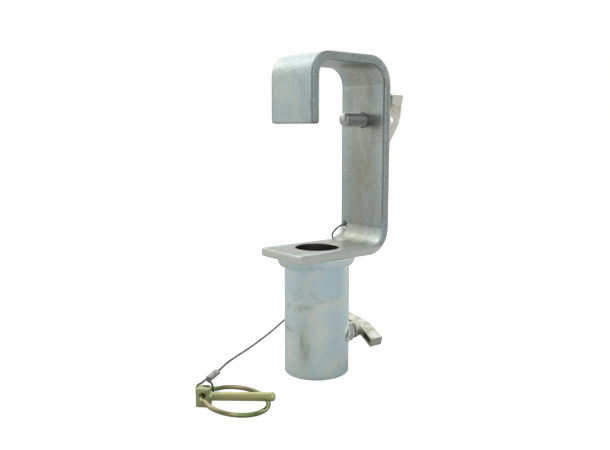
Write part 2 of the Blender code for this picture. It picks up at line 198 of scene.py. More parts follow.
for side, depth_centre, start_angle in (
    (1, BAR_CORNER, math.pi / 2), (1, BAR_THICK - BAR_CORNER, 0), (-1, BAR_THICK - BAR_CORNER, -math.pi / 2),
    (-1, BAR_CORNER, math.pi),
):
    for step in range(7):
        angle = start_angle - math.pi / 2 * step / 6
        loop.append((side * (half_width - BAR_CORNER) + BAR_CORNER * math.cos(angle),
                     depth_centre - BAR_CORNER * math.sin(angle)))
    across = 2 * (half_width - BAR_CORNER)
    if depth_centre > BAR_THICK / 2 and side == 1:
        loop += [(half_width - BAR_CORNER - across * step / flat_steps, BAR_THICK)
                 for step in range(1, flat_steps)]
    if depth_centre < BAR_THICK / 2 and side == -1:
        loop += [(-half_width + BAR_CORNER + across * step / flat_steps, 0.0)
                 for step in range(1, flat_steps)]

bar_points = []


def end_round(reach, radius):
    """How far a rounded end is drawn in at this distance from it."""
    return radius - math.sqrt(radius ** 2 - (radius - reach) ** 2) if reach < radius else 0.0


def bar_section(station, from_end=1.0, corner=LIP_CORNER):
    """Adds one loop of points round the bar, drawn in where it is near a sheared end."""
    x, z, out_x, out_z, bend, from_tangent = station
    shrink = end_round(from_end, SHEARED_EDGE)
    corner_shrink = end_round(from_end, corner)
    for wide, depth in loop:
        lean = 2 * depth / BAR_THICK - 1
        wide_now = wide * (1 + lean * BEND_BULGE * bend / half_width) * (1 - corner_shrink / half_width)
        groove = CREASE_DEPTH * math.exp(-((from_tangent / (0.55 * MM)) ** 2)) * max(0.0, lean)
        depth_now = BAR_THICK / 2 + (depth - BAR_THICK / 2) * (1 - 2 * shrink / BAR_THICK) - groove
        bar_points.append((x - out_x * depth_now, wide_now, z - out_z * depth_now))


end_steps = [0.0, 0.04, 0.12, 0.25, 0.42, 0.65, 0.95, 1.3, 1.75, 2.25]
for step in end_steps:
    row = lip_end.copy()
    row[1] += step * MM
    bar_section(row, step * MM, LIP_CORNER)
for row in stations[:-1]:
    bar_section(row)
for step in end_steps[::-1]:
    row = foot_end.copy()
    row[0] += step * MM
    bar_section(row, step * MM, FOOT_CORNER)
around = len(loop)
rows = len(bar_points) // around
bar_faces = [list(range(around)), list(range((rows - 1) * around, rows * around))]
for row in range(rows - 1):
    for step in range(around):
        after = (step + 1) % around
        bar_faces.append([row * around + step, row * around + after,
                          (row + 1) * around + after, (row + 1) * around + step])
hook = add_mesh("bent_bar", bar_points, bar_faces)

hole_chamfer = 0.35 * MM
clamp_low, clamp_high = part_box("clamp_stud")
clamp_height = (clamp_low.z + clamp_high.z) / 2


def drilled(name, radius, thickness, direction, start):
    """A drill's path through a plate, flared at both faces."""
    flare = radius + 3 * hole_chamfer
    outline = [(-2 * hole_chamfer, 0), (-2 * hole_chamfer, flare), (hole_chamfer, radius)]
    outline += [(thickness - hole_chamfer, radius), (thickness + 2 * hole_chamfer, flare)]
    outline += [(thickness + 2 * hole_chamfer, 0)]
    return turned(name, outline, direction, start, 64)


FOOT_HOLE = 15.1 * MM           # radii of the three holes
CLAMP_HOLE = 5.25 * MM
LANYARD_HOLE = 2.3 * MM
LANYARD_HOLE_PLACE = (18.0 * MM, 98.7 * MM)
cut_away(hook, [
    drilled("socket_mouth", FOOT_HOLE, BAR_THICK, (0, 0, -1), (axis_x, 0, FOOT_TOP)),
    drilled("clamp_hole", CLAMP_HOLE, BAR_THICK, (-1, 0, 0), (back_x, 0, clamp_height)),
    drilled("lanyard_hole", LANYARD_HOLE, BAR_THICK, (-1, 0, 0), (back_x, *LANYARD_HOLE_PLACE)),
])

FACES_HOLLOW = 0.12             # least cosine between a face and the way to the hollow's middle
hollow_middle = Vector((axis_x + 12 * MM, 0, 150 * MM))
inside_face = hook.data.attributes.new("inside_face", "FLOAT", "POINT")
inside_face.data.foreach_set("value", [
    1.0 if vertex.normal.dot((hollow_middle - vertex.co).normalized()) > FACES_HOLLOW else 0.0
    for vertex in hook.data.vertices
])


def zinc_plate(name, cool, warm, stain, stain_share, grain_size, roughness, nick_share, run=(1, 1, 1),
               inside_attribute=False, half_span=0.0, bore=0.0, mottle=0.1, waviness=0.5, shade_grooves=False,
               seed=0.0):
    """Zinc plate on steel: clouded blue and straw tints, fine grain, drawn lines, stains and nicks, and where
    asked painted shade and light inside the hook, along its edges, on the foot, in bores and in thread roots.
    """
    made = bpy.data.materials.new(name)
    made.use_nodes = True
    nodes = made.node_tree.nodes
    links = made.node_tree.links
    nodes.clear()
    output = nodes.new("ShaderNodeOutputMaterial")
    output.label = "Surface"
    plating = nodes.new("ShaderNodeBsdfPrincipled")
    plating.label = "Zinc plating"
    plating.inputs["Metallic"].default_value = 0.93
    plating.inputs["Specular IOR Level"].default_value = 0.5
    links.new(plating.outputs["BSDF"], output.inputs["Surface"])
    where = nodes.new("ShaderNodeTexCoord")
    where.label = "Place on the piece"
    shifted = nodes.new("ShaderNodeMapping")
    shifted.label = "Start the pattern elsewhere on each piece"
    shifted.inputs["Location"].default_value = (seed, seed * 0.37, -seed * 0.61)
    links.new(where.outputs["Object"], shifted.inputs["Vector"])

    tint_frame = nodes.new("NodeFrame")
    tint_frame.label = "Clouded plating tint"
    clouds = nodes.new("ShaderNodeTexNoise")
    clouds.label = "Clouds a thumb's width across"
    clouds.inputs["Scale"].default_value = 42
    clouds.inputs["Detail"].default_value = 5
    clouds.inputs["Roughness"].default_value = 0.55
    clouds.inputs["Distortion"].default_value = 0.6
    tint = nodes.new("ShaderNodeValToRGB")
    tint.label = "Blue to straw"
    tint.color_ramp.elements[0].position = 0.36
    tint.color_ramp.elements[0].color = (*cool, 1)
    tint.color_ramp.elements[1].position = 0.66
    tint.color_ramp.elements[1].color = (*warm, 1)
    links.new(shifted.outputs["Vector"], clouds.inputs["Vector"])
    links.new(clouds.outputs["Fac"], tint.inputs["Fac"])
    for node in (clouds, tint):
        node.parent = tint_frame
    colour = tint.outputs["Color"]

    if inside_attribute:
        # The middle of the faces inside the hook turns a darker straw: partly plating tint, partly painted
        # shade inside the hook.
        inside_frame = nodes.new("NodeFrame")
        inside_frame.label = "Straw film and painted shade in the inner faces' middle"
        inside = nodes.new("ShaderNodeAttribute")
        inside.label = "Inner face of the bend"
        inside.attribute_name = "inside_face"
        axes = nodes.new("ShaderNodeSeparateXYZ")
        axes.label = "Distance across the bar"
        across_bar = nodes.new("ShaderNodeMath")
        across_bar.label = "Either side alike"
        across_bar.operation = "ABSOLUTE"
        middle = nodes.new("ShaderNodeMapRange")
        middle.label = "Full in the middle, none at the edges"
        middle.interpolation_type = "SMOOTHSTEP"
        middle.inputs["From Min"].default_value = half_span * 0.95
        middle.inputs["From Max"].default_value = half_span * 0.45
        streaks = nodes.new("ShaderNodeMapping")
        streaks.label = "Drawn out up and down"
        streaks.inputs["Scale"].default_value = (1, 1, 0.35)
        patchy = nodes.new("ShaderNodeTexNoise")
        patchy.label = "Patches of film"
        patchy.inputs["Scale"].default_value = 85
        patchy.inputs["Detail"].default_value = 6
        patchy.inputs["Roughness"].default_value = 0.6
        patchy.inputs["Distortion"].default_value = 0.9
        patchy_share = nodes.new("ShaderNodeMapRange")
        patchy_share.label = "Thick and thin film"
        patchy_share.inputs["From Min"].default_value = 0.32
        patchy_share.inputs["From Max"].default_value = 0.62
        patchy_share.inputs["To Min"].default_value = 0.25
        patchy_share.inputs["To Max"].default_value = 1.0
        ragged = nodes.new("ShaderNodeMath")
        ragged.label = "Inner faces only"
        ragged.operation = "MULTIPLY"
        amount = nodes.new("ShaderNodeMath")
        amount.label = "Film and painted shade here"
        amount.operation = "MULTIPLY"
        straw_film_and_shade = nodes.new("ShaderNodeMix")
        straw_film_and_shade.label = "Straw film and painted shade"
        straw_film_and_shade.data_type = "RGBA"
        straw_film_and_shade.inputs["B"].default_value = (0.40, 0.40, 0.32, 1)
        links.new(where.outputs["Object"], axes.inputs["Vector"])
        links.new(axes.outputs["Y"], across_bar.inputs[0])
        links.new(across_bar.outputs["Value"], middle.inputs["Value"])
        links.new(middle.outputs["Result"], ragged.inputs[0])
        links.new(inside.outputs["Fac"], ragged.inputs[1])
        links.new(ragged.outputs["Value"], amount.inputs[0])
        links.new(shifted.outputs["Vector"], streaks.inputs["Vector"])
        links.new(streaks.outputs["Vector"], patchy.inputs["Vector"])
        links.new(patchy.outputs["Fac"], patchy_share.inputs["Value"])
        links.new(patchy_share.outputs["Result"], amount.inputs[1])
        links.new(amount.outputs["Value"], straw_film_and_shade.inputs["Factor"])
        links.new(colour, straw_film_and_shade.inputs["A"])
        for node in (inside, axes, across_bar, middle, streaks, patchy, patchy_share, ragged, amount, straw_film_and_shade):
            node.parent = inside_frame
        colour = straw_film_and_shade.outputs["Result"]

        # Painted shade and light on the inner faces: darker just below the top bend, brighter inside it.
        bend_frame = nodes.new("NodeFrame")
        bend_frame.label = "Painted shade below the top bend, painted light inside it"
        bend_height = nodes.new("ShaderNodeMapRange")
        bend_height.label = "From below the bend to the top"
        bend_height.inputs["From Min"].default_value = 174 * MM
        bend_height.inputs["From Max"].default_value = 212 * MM
        bend_light_ramp = nodes.new("ShaderNodeValToRGB")
        bend_light_ramp.label = "Painted shade and light by height"
        bend_light_ramp.color_ramp.interpolation = "EASE"
        bend_light_ramp.color_ramp.elements[0].color = (1, 1, 1, 1)
        bend_light_ramp.color_ramp.elements[1].color = (1.2, 1.2, 1.2, 1)
        for place, level in ((0.60, 0.84), (0.76, 1.12)):
            bend_light_ramp.color_ramp.elements.new(place).color = (level, level, level, 1)
        bend_painted_shade_and_light = nodes.new("ShaderNodeMix")
        bend_painted_shade_and_light.label = "Inner faces only"
        bend_painted_shade_and_light.data_type = "RGBA"
        bend_painted_shade_and_light.blend_type = "MULTIPLY"
        links.new(axes.outputs["Z"], bend_height.inputs["Value"])
        links.new(bend_height.outputs["Result"], bend_light_ramp.inputs["Fac"])
        links.new(inside.outputs["Fac"], bend_painted_shade_and_light.inputs["Factor"])
        links.new(colour, bend_painted_shade_and_light.inputs["A"])
        links.new(bend_light_ramp.outputs["Color"], bend_painted_shade_and_light.inputs["B"])
        for node in (bend_height, bend_light_ramp, bend_painted_shade_and_light):
            node.parent = bend_frame
        colour = bend_painted_shade_and_light.outputs["Result"]

    stain_frame = nodes.new("NodeFrame")
    stain_frame.label = "Olive stains"
    blots = nodes.new("ShaderNodeTexNoise")
    blots.label = "Stain outlines"
    blots.inputs["Scale"].default_value = 33
    blots.inputs["Detail"].default_value = 7
    blots.inputs["Roughness"].default_value = 0.62
    blots.inputs["Distortion"].default_value = 1.4
    blot_share = nodes.new("ShaderNodeMapRange")
    blot_share.label = "Where the stain lies"
    blot_share.interpolation_type = "SMOOTHSTEP"
    blot_share.inputs["From Min"].default_value = 0.57
    blot_share.inputs["From Max"].default_value = 0.76
    blot_share.inputs["To Max"].default_value = stain_share
    stained = nodes.new("ShaderNodeMix")
    stained.label = "Stain over the tint"
    stained.data_type = "RGBA"
    stained.inputs["B"].default_value = (*stain, 1)
    links.new(shifted.outputs["Vector"], blots.inputs["Vector"])
    links.new(blots.outputs["Fac"], blot_share.inputs["Value"])
    links.new(blot_share.outputs["Result"], stained.inputs["Factor"])
    links.new(colour, stained.inputs["A"])
    for node in (blots, blot_share, stained):
        node.parent = stain_frame

    grain_frame = nodes.new("NodeFrame")
    grain_frame.label = "Crystal grain"
    grain = nodes.new("ShaderNodeTexNoise")
    grain.label = "Grain"
    grain.inputs["Scale"].default_value = 1 / grain_size
    grain.inputs["Detail"].default_value = 3
    grain.inputs["Roughness"].default_value = 0.6
    grain_light = nodes.new("ShaderNodeMapRange")
    grain_light.label = "Light and dark crystals"
    grain_light.inputs["From Min"].default_value = 0.3
    grain_light.inputs["From Max"].default_value = 0.7
    grain_light.inputs["To Min"].default_value = 1 - mottle
    grain_light.inputs["To Max"].default_value = 1 + mottle
    mottled = nodes.new("ShaderNodeMix")
    mottled.label = "Mottle the tint"
    mottled.data_type = "RGBA"
    mottled.blend_type = "MULTIPLY"
    mottled.inputs["Factor"].default_value = 1
    links.new(shifted.outputs["Vector"], grain.inputs["Vector"])
    links.new(grain.outputs["Fac"], grain_light.inputs["Value"])
    links.new(stained.outputs["Result"], mottled.inputs["A"])
    links.new(grain_light.outputs["Result"], mottled.inputs["B"])
    for node in (grain, grain_light, mottled):
        node.parent = grain_frame

    plated = mottled.outputs["Result"]
    # Painted dark reflection along the bar's rolled edges above the foot, and below the foot's top face
    # painted light.
    if half_span:
        edge_frame = nodes.new("NodeFrame")
        edge_frame.label = "Painted dark reflection on the rolled edges, painted light on the foot"
        edge_axes = nodes.new("ShaderNodeSeparateXYZ")
        edge_axes.label = "Place across the bar"
        either_side = nodes.new("ShaderNodeMath")
        either_side.label = "Both edges"
        either_side.operation = "ABSOLUTE"
        near_edge = nodes.new("ShaderNodeMapRange")
        near_edge.label = "Last two millimetres"
        near_edge.interpolation_type = "SMOOTHSTEP"
        near_edge.inputs["From Min"].default_value = half_span - 2.3 * MM
        near_edge.inputs["From Max"].default_value = half_span - 0.9 * MM
        past_edge = nodes.new("ShaderNodeMapRange")
        past_edge.label = "Not on the side itself"
        past_edge.interpolation_type = "SMOOTHSTEP"
        past_edge.inputs["From Min"].default_value = half_span - 0.02 * MM
        past_edge.inputs["From Max"].default_value = half_span - 0.4 * MM
        edge_share = nodes.new("ShaderNodeMath")
        edge_share.label = "Painted reflection here"
        edge_share.operation = "MULTIPLY"
        upright_only = nodes.new("ShaderNodeMapRange")
        upright_only.label = "Only above the foot"
        upright_only.interpolation_type = "SMOOTHSTEP"
        upright_only.inputs["From Min"].default_value = FOOT_TOP + 8 * MM
        upright_only.inputs["From Max"].default_value = FOOT_TOP + 26 * MM
        upright_only.inputs["To Max"].default_value = 0.62
        edge_amount = nodes.new("ShaderNodeMath")
        edge_amount.label = "How dark"
        edge_amount.operation = "MULTIPLY"
        edge_painted_reflection = nodes.new("ShaderNodeMix")
        edge_painted_reflection.label = "Darker at the edges"
        edge_painted_reflection.data_type = "RGBA"
        edge_painted_reflection.inputs["B"].default_value = (0.20, 0.22, 0.21, 1)
        # Painted light on the foot's sides and edges, below its top face.
        foot_edge = nodes.new("ShaderNodeMapRange")
        foot_edge.label = "Below the foot's top face"
        foot_edge.inputs["From Min"].default_value = FOOT_TOP - 0.2 * MM
        foot_edge.inputs["From Max"].default_value = FOOT_TOP - 1.2 * MM
        foot_edge.inputs["To Max"].default_value = 0.75
        foot_painted_light = nodes.new("ShaderNodeMix")
        foot_painted_light.label = "Painted light on the foot's sides and edges"
        foot_painted_light.data_type = "RGBA"
        foot_painted_light.inputs["B"].default_value = (0.86, 0.90, 0.82, 1)
        links.new(where.outputs["Object"], edge_axes.inputs["Vector"])
        links.new(edge_axes.outputs["Y"], either_side.inputs[0])
        links.new(either_side.outputs["Value"], near_edge.inputs["Value"])
        links.new(either_side.outputs["Value"], past_edge.inputs["Value"])
        links.new(near_edge.outputs["Result"], edge_share.inputs[0])
        links.new(past_edge.outputs["Result"], edge_share.inputs[1])
        links.new(edge_share.outputs["Value"], edge_amount.inputs[0])
        links.new(edge_axes.outputs["Z"], upright_only.inputs["Value"])
        links.new(upright_only.outputs["Result"], edge_amount.inputs[1])
        links.new(edge_amount.outputs["Value"], edge_painted_reflection.inputs["Factor"])
        links.new(plated, edge_painted_reflection.inputs["A"])
        links.new(edge_axes.outputs["Z"], foot_edge.inputs["Value"])
        links.new(foot_edge.outputs["Result"], foot_painted_light.inputs["Factor"])
        links.new(edge_painted_reflection.outputs["Result"], foot_painted_light.inputs["A"])
        for node in (edge_axes, either_side, near_edge, past_edge, edge_share, upright_only, edge_amount,
                     edge_painted_reflection, foot_edge, foot_painted_light):
            node.parent = edge_frame
        plated = foot_painted_light.outputs["Result"]

    # Painted shade in the thread roots, from the groove depth that the thread tree stores.
    if shade_grooves:
        groove_frame = nodes.new("NodeFrame")
        groove_frame.label = "Painted shade in the thread roots"
        groove = nodes.new("ShaderNodeAttribute")
        groove.label = "Depth in the thread"
        groove.attribute_name = "painted_groove_shade"
        roots_painted_dark = nodes.new("ShaderNodeMix")
        roots_painted_dark.label = "Dark roots"
        roots_painted_dark.data_type = "RGBA"
        roots_painted_dark.inputs["B"].default_value = (0.05, 0.05, 0.045, 1)
        links.new(groove.outputs["Fac"], roots_painted_dark.inputs["Factor"])
        links.new(plated, roots_painted_dark.inputs["A"])
        for node in (groove, roots_painted_dark):
            node.parent = groove_frame
        plated = roots_painted_dark.outputs["Result"]

    # Painted shade down the bore: near black brown on the walls inside it.
    if bore:
        bore_frame = nodes.new("NodeFrame")
        bore_frame.label = "Painted shade down the bore"
        from_axis = nodes.new("ShaderNodeVectorMath")
        from_axis.label = "Measured from the axis"
        from_axis.operation = "SUBTRACT"
        from_axis.inputs[1].default_value = (axis_x, 0, 0)
        flat_way = nodes.new("ShaderNodeVectorMath")
        flat_way.label = "Drop the height"
        flat_way.operation = "MULTIPLY"
        flat_way.inputs[1].default_value = (1, 1, 0)
        radius_here = nodes.new("ShaderNodeVectorMath")
        radius_here.label = "Radius here"
        radius_here.operation = "LENGTH"
        down_bore = nodes.new("ShaderNodeMapRange")
        down_bore.label = "Inside the bore"
        down_bore.inputs["From Min"].default_value = bore + 0.5 * MM
        down_bore.inputs["From Max"].default_value = bore + 0.05 * MM
        down_bore.inputs["To Max"].default_value = 0.9
        bore_axes = nodes.new("ShaderNodeSeparateXYZ")
        bore_axes.label = "Height"
        below_mouth = nodes.new("ShaderNodeMath")
        below_mouth.label = "Below the mouth"
        below_mouth.operation = "LESS_THAN"
        below_mouth.inputs[1].default_value = FOOT_TOP - 0.4 * MM
        bore_here = nodes.new("ShaderNodeMath")
        bore_here.label = "Bore wall here"
        bore_here.operation = "MULTIPLY"
        bore_painted_shade = nodes.new("ShaderNodeMix")
        bore_painted_shade.label = "Painted shade in the bore"
        bore_painted_shade.data_type = "RGBA"
        bore_painted_shade.inputs["B"].default_value = (0.085, 0.08, 0.065, 1)
        links.new(where.outputs["Object"], from_axis.inputs[0])
        links.new(from_axis.outputs["Vector"], flat_way.inputs[0])
        links.new(flat_way.outputs["Vector"], radius_here.inputs[0])
        links.new(radius_here.outputs["Value"], down_bore.inputs["Value"])
        links.new(where.outputs["Object"], bore_axes.inputs["Vector"])
        links.new(bore_axes.outputs["Z"], below_mouth.inputs[0])
        links.new(down_bore.outputs["Result"], bore_here.inputs[0])
        links.new(below_mouth.outputs["Value"], bore_here.inputs[1])
        links.new(bore_here.outputs["Value"], bore_painted_shade.inputs["Factor"])
        links.new(plated, bore_painted_shade.inputs["A"])
        for node in (from_axis, flat_way, radius_here, down_bore, bore_axes, below_mouth, bore_here, bore_painted_shade):
            node.parent = bore_frame
        plated = bore_painted_shade.outputs["Result"]

    nick_frame = nodes.new("NodeFrame")
    nick_frame.label = "Nicks with a trace of rust"
    cells = nodes.new("ShaderNodeTexVoronoi")
    cells.label = "One nick to a cell"
    cells.inputs["Scale"].default_value = 95
    bent = nodes.new("ShaderNodeMix")
    bent.label = "Ragged outline"
    bent.data_type = "VECTOR"
    bent.inputs["Factor"].default_value = 0.006
    sparse = nodes.new("ShaderNodeMath")
    sparse.label = "Few cells carry one"
    sparse.operation = "GREATER_THAN"
    sparse.inputs[1].default_value = 1 - nick_share
    spot = nodes.new("ShaderNodeMapRange")
    spot.label = "Nick radius"
    spot.inputs["From Min"].default_value = 0.13
    spot.inputs["From Max"].default_value = 0.07
    spot_here = nodes.new("ShaderNodeMath")
    spot_here.label = "Nick here"
    spot_here.operation = "MULTIPLY"
    spot_tint = nodes.new("ShaderNodeSeparateColor")
    spot_tint.label = "Cell's own number"
    nicked = nodes.new("ShaderNodeMix")
    nicked.label = "Brown in the nick"
    nicked.data_type = "RGBA"
    nicked.inputs["B"].default_value = (0.12, 0.085, 0.06, 1)
    links.new(shifted.outputs["Vector"], bent.inputs["A"])
    links.new(grain.outputs["Color"], bent.inputs["B"])
    links.new(bent.outputs["Result"], cells.inputs["Vector"])
    links.new(cells.outputs["Color"], spot_tint.inputs["Color"])
    links.new(spot_tint.outputs["Red"], sparse.inputs[0])
    links.new(cells.outputs["Distance"], spot.inputs["Value"])
    links.new(spot.outputs["Result"], spot_here.inputs[0])
    links.new(sparse.outputs["Value"], spot_here.inputs[1])
    links.new(spot_here.outputs["Value"], nicked.inputs["Factor"])
    links.new(plated, nicked.inputs["A"])
    links.new(nicked.outputs["Result"], plating.inputs["Base Color"])
    for node in (cells, bent, sparse, spot, spot_here, spot_tint, nicked):
        node.parent = nick_frame

    gloss_frame = nodes.new("NodeFrame")
    gloss_frame.label = "Gloss"
    gloss = nodes.new("ShaderNodeMapRange")
    gloss.label = "Satin with duller clouds"
    gloss.inputs["From Min"].default_value = 0.3
    gloss.inputs["From Max"].default_value = 0.7
    gloss.inputs["To Min"].default_value = roughness - 0.06
    gloss.inputs["To Max"].default_value = roughness + 0.08
    links.new(blots.outputs["Fac"], gloss.inputs["Value"])
    links.new(gloss.outputs["Result"], plating.inputs["Roughness"])
    gloss.parent = gloss_frame

    relief_frame = nodes.new("NodeFrame")
    relief_frame.label = "Relief"
    stretched = nodes.new("ShaderNodeMapping")
    stretched.label = "Long along the rolling direction"
    stretched.inputs["Scale"].default_value = run
    drawn = nodes.new("ShaderNodeTexNoise")
    drawn.label = "Drawn lines"
    drawn.inputs["Scale"].default_value = 260
    drawn.inputs["Detail"].default_value = 2
    waves = nodes.new("ShaderNodeTexNoise")
    waves.label = "Slow unevenness of rolled steel"
    waves.inputs["Scale"].default_value = 75
    waves.inputs["Detail"].default_value = 1
    wave_bump = nodes.new("ShaderNodeBump")
    wave_bump.label = "Unevenness"
    wave_bump.inputs["Strength"].default_value = waviness
    wave_bump.inputs["Distance"].default_value = 0.00035
    drawn_bump = nodes.new("ShaderNodeBump")
    drawn_bump.label = "Lines"
    drawn_bump.inputs["Strength"].default_value = 0.25
    drawn_bump.inputs["Distance"].default_value = 0.00006
    grain_bump = nodes.new("ShaderNodeBump")
    grain_bump.label = "Grain"
    grain_bump.inputs["Strength"].default_value = min(0.6, 2.2 * mottle)
    grain_bump.inputs["Distance"].default_value = 0.00005
    links.new(shifted.outputs["Vector"], stretched.inputs["Vector"])
    links.new(stretched.outputs["Vector"], drawn.inputs["Vector"])
    links.new(shifted.outputs["Vector"], waves.inputs["Vector"])
    links.new(waves.outputs["Fac"], wave_bump.inputs["Height"])
    links.new(drawn.outputs["Fac"], drawn_bump.inputs["Height"])
    links.new(wave_bump.outputs["Normal"], drawn_bump.inputs["Normal"])
    links.new(grain.outputs["Fac"], grain_bump.inputs["Height"])
    links.new(drawn_bump.outputs["Normal"], grain_bump.inputs["Normal"])
    links.new(grain_bump.outputs["Normal"], plating.inputs["Normal"])
    for node in (stretched, drawn, waves, wave_bump, drawn_bump, grain_bump):
        node.parent = relief_frame
    for column, node in enumerate([node for node in nodes if node.type != "FRAME"]):
        node.location = (column % 8 * 220 - 1400, 500 - column // 8 * 320)
    return made


BLUE_GREY = (0.45, 0.55, 0.56)
STRAW_GREY = (0.55, 0.60, 0.55)
OLIVE = (0.36, 0.36, 0.25)
# The bar's plating carries painted shade and light inside the hook, a painted dark reflection along its
# edges, painted light on the foot and painted shade down the socket's mouth.
bar_zinc = zinc_plate("zinc_on_bar", BLUE_GREY, STRAW_GREY, OLIVE, 0.45, 0.9 * MM, 0.34, 0.02,
                      run=(1, 0.12, 1), inside_attribute=True, half_span=half_width, bore=FOOT_HOLE,
                      mottle=0.30, seed=0.3)
hook.data.materials.append(bar_zinc)
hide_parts("hook_strap")
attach(hook, "clamp")


# ---------------------------------------------------------------------------------------------
# Socket. A length of thick-walled round tube, sawn square and chamfered, welded under the foot
# and drilled through one side for the lock bolt.
# ---------------------------------------------------------------------------------------------
SOCKET_BORE = 15.1 * MM
tube_radius = (socket_high.x - socket_low.x) / 2
tube_chamfer = 0.8 * MM
lock_low, lock_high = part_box("lock_stud")
lock_height = (lock_low.z + lock_high.z) / 2
LOCK_YAW = math.radians(-4)
lock_way = Vector((math.cos(LOCK_YAW), math.sin(LOCK_YAW), 0))
lock_start = Vector((axis_x, 0, lock_height))

tube_outline = [(0, SOCKET_BORE + tube_chamfer), (tube_chamfer, SOCKET_BORE)]
tube_outline += [(level * MM, SOCKET_BORE) for level in range(4, 80, 4)]
tube_outline += [(socket_high.z, SOCKET_BORE), (socket_high.z, tube_radius)]
tube_outline += [(level * MM, tube_radius) for level in range(80, 2, -2)]
tube_outline += [(tube_chamfer + 0.2 * MM, tube_radius)]
tube_outline += [(tube_chamfer * 0.6, tube_radius - tube_chamfer * 0.25)]
tube_outline += [(0.1 * MM, tube_radius - tube_chamfer * 0.8), (0, tube_radius - tube_chamfer)]
tube_outline += [(0, SOCKET_BORE + tube_chamfer)]
tube = turned("socket_sleeve", tube_outline, (0, 0, 1), (axis_x, 0, 0), 160)
cut_away(tube, [turned("lock_drill", [(8 * MM, 0), (8 * MM, 4.25 * MM), (30 * MM, 4.25 * MM), (30 * MM, 0)],
                       lock_way, lock_start, 48)])
# The tube's plating carries painted shade down its bore.
tube_zinc = zinc_plate("zinc_on_tube", (0.70, 0.92, 0.97), (0.93, 0.99, 0.90), (0.38, 0.45, 0.28), 0.7,
                       1.1 * MM, 0.27, 0.5, run=(1, 1, 0.15), bore=SOCKET_BORE, mottle=0.025,
                       waviness=0.15, seed=1.55)
tube.data.materials.append(tube_zinc)
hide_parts("socket_tube")
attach(tube, "clamp")


# ---------------------------------------------------------------------------------------------
# Welds. A fillet laid round the top of the socket under the foot, wide where the foot overhangs
# and thin beside the bar's edges, and a smaller one round the lock nut. Both are laid in steps.
# ---------------------------------------------------------------------------------------------
def weld_tree():
    """Instances a drop of weld metal on every point of a line, each turned along the line."""
    tree = bpy.data.node_groups.new("weld_drops", "GeometryNodeTree")
    tree.interface.new_socket(name="Geometry", in_out="INPUT", socket_type="NodeSocketGeometry")
    tree.interface.new_socket(name="Drop Size", in_out="INPUT", socket_type="NodeSocketFloat")
    tree.interface.new_socket(name="Unevenness", in_out="INPUT", socket_type="NodeSocketFloat")
    tree.interface.new_socket(name="Seed", in_out="INPUT", socket_type="NodeSocketInt")
    tree.interface.new_socket(name="Material", in_out="INPUT", socket_type="NodeSocketMaterial")
    tree.interface.new_socket(name="Geometry", in_out="OUTPUT", socket_type="NodeSocketGeometry")
    nodes = tree.nodes
    links = tree.links
    inputs = nodes.new("NodeGroupInput")
    inputs.label = "What the piece gives"
    outputs = nodes.new("NodeGroupOutput")
    outputs.label = "Finished piece"
    drop = nodes.new("GeometryNodeMeshIcoSphere")
    drop.label = "Drop of weld metal"
    drop.inputs["Radius"].default_value = 1.0
    drop.inputs["Subdivisions"].default_value = 3
    size = nodes.new("GeometryNodeInputNamedAttribute")
    size.label = "Drop's reach, fall and length"
    size.data_type = "FLOAT_VECTOR"
    size.inputs["Name"].default_value = "drop_size"
    turn = nodes.new("GeometryNodeInputNamedAttribute")
    turn.label = "Drop's turn about the seam"
    turn.data_type = "FLOAT_VECTOR"
    turn.inputs["Name"].default_value = "drop_turn"
    uneven = nodes.new("FunctionNodeRandomValue")
    uneven.label = "Uneven hand"
    uneven.data_type = "FLOAT"
    low = nodes.new("ShaderNodeMath")
    low.label = "Smallest drop"
    low.operation = "SUBTRACT"
    low.inputs[0].default_value = 1.0
    high = nodes.new("ShaderNodeMath")
    high.label = "Largest drop"
    high.operation = "ADD"
    high.inputs[0].default_value = 1.0
    scaled = nodes.new("ShaderNodeVectorMath")
    scaled.label = "Vary the drop"
    scaled.operation = "SCALE"
    sized = nodes.new("ShaderNodeVectorMath")
    sized.label = "Size of the drops"
    sized.operation = "SCALE"
    laid = nodes.new("GeometryNodeInstanceOnPoints")
    laid.label = "One drop at each step"
    real = nodes.new("GeometryNodeRealizeInstances")
    real.label = "Real mesh"
    painted = nodes.new("GeometryNodeSetMaterial")
    painted.label = "Plated like the rest"
    links.new(inputs.outputs["Unevenness"], low.inputs[1])
    links.new(inputs.outputs["Unevenness"], high.inputs[1])
    links.new(low.outputs["Value"], uneven.inputs["Min"])
    links.new(high.outputs["Value"], uneven.inputs["Max"])
    links.new(inputs.outputs["Seed"], uneven.inputs["Seed"])
    links.new(size.outputs["Attribute"], scaled.inputs[0])
    links.new(uneven.outputs["Value"], scaled.inputs["Scale"])
    links.new(scaled.outputs["Vector"], sized.inputs[0])
    links.new(inputs.outputs["Drop Size"], sized.inputs["Scale"])
    links.new(inputs.outputs["Geometry"], laid.inputs["Points"])
    links.new(drop.outputs["Mesh"], laid.inputs["Instance"])
    links.new(turn.outputs["Attribute"], laid.inputs["Rotation"])
    links.new(sized.outputs["Vector"], laid.inputs["Scale"])
    links.new(laid.outputs["Instances"], real.inputs["Geometry"])
    links.new(real.outputs["Geometry"], painted.inputs["Geometry"])
    links.new(inputs.outputs["Material"], painted.inputs["Material"])
    links.new(painted.outputs["Geometry"], outputs.inputs["Geometry"])
    for column, node in enumerate(nodes):
        node.location = (column * 200, 0)
    return tree


def set_inputs(piece, tree, **values):
    """Adds a Geometry Nodes tree to a piece, with its named inputs set."""
    growing = piece.modifiers.new(tree.name, "NODES")
    growing.node_group = tree
    for item in tree.interface.items_tree:
        key = item.name.lower().replace(" ", "_")
        if item.in_out == "INPUT" and key in values:
            growing[item.identifier] = values[key]
    return growing


weld_drops = weld_tree()
weld_zinc = zinc_plate("zinc_on_weld", (0.78, 0.97, 0.98), (0.95, 0.99, 0.91), (0.44, 0.46, 0.30), 0.45,
                       0.8 * MM, 0.30, 0.10, mottle=0.05, seed=3.1)


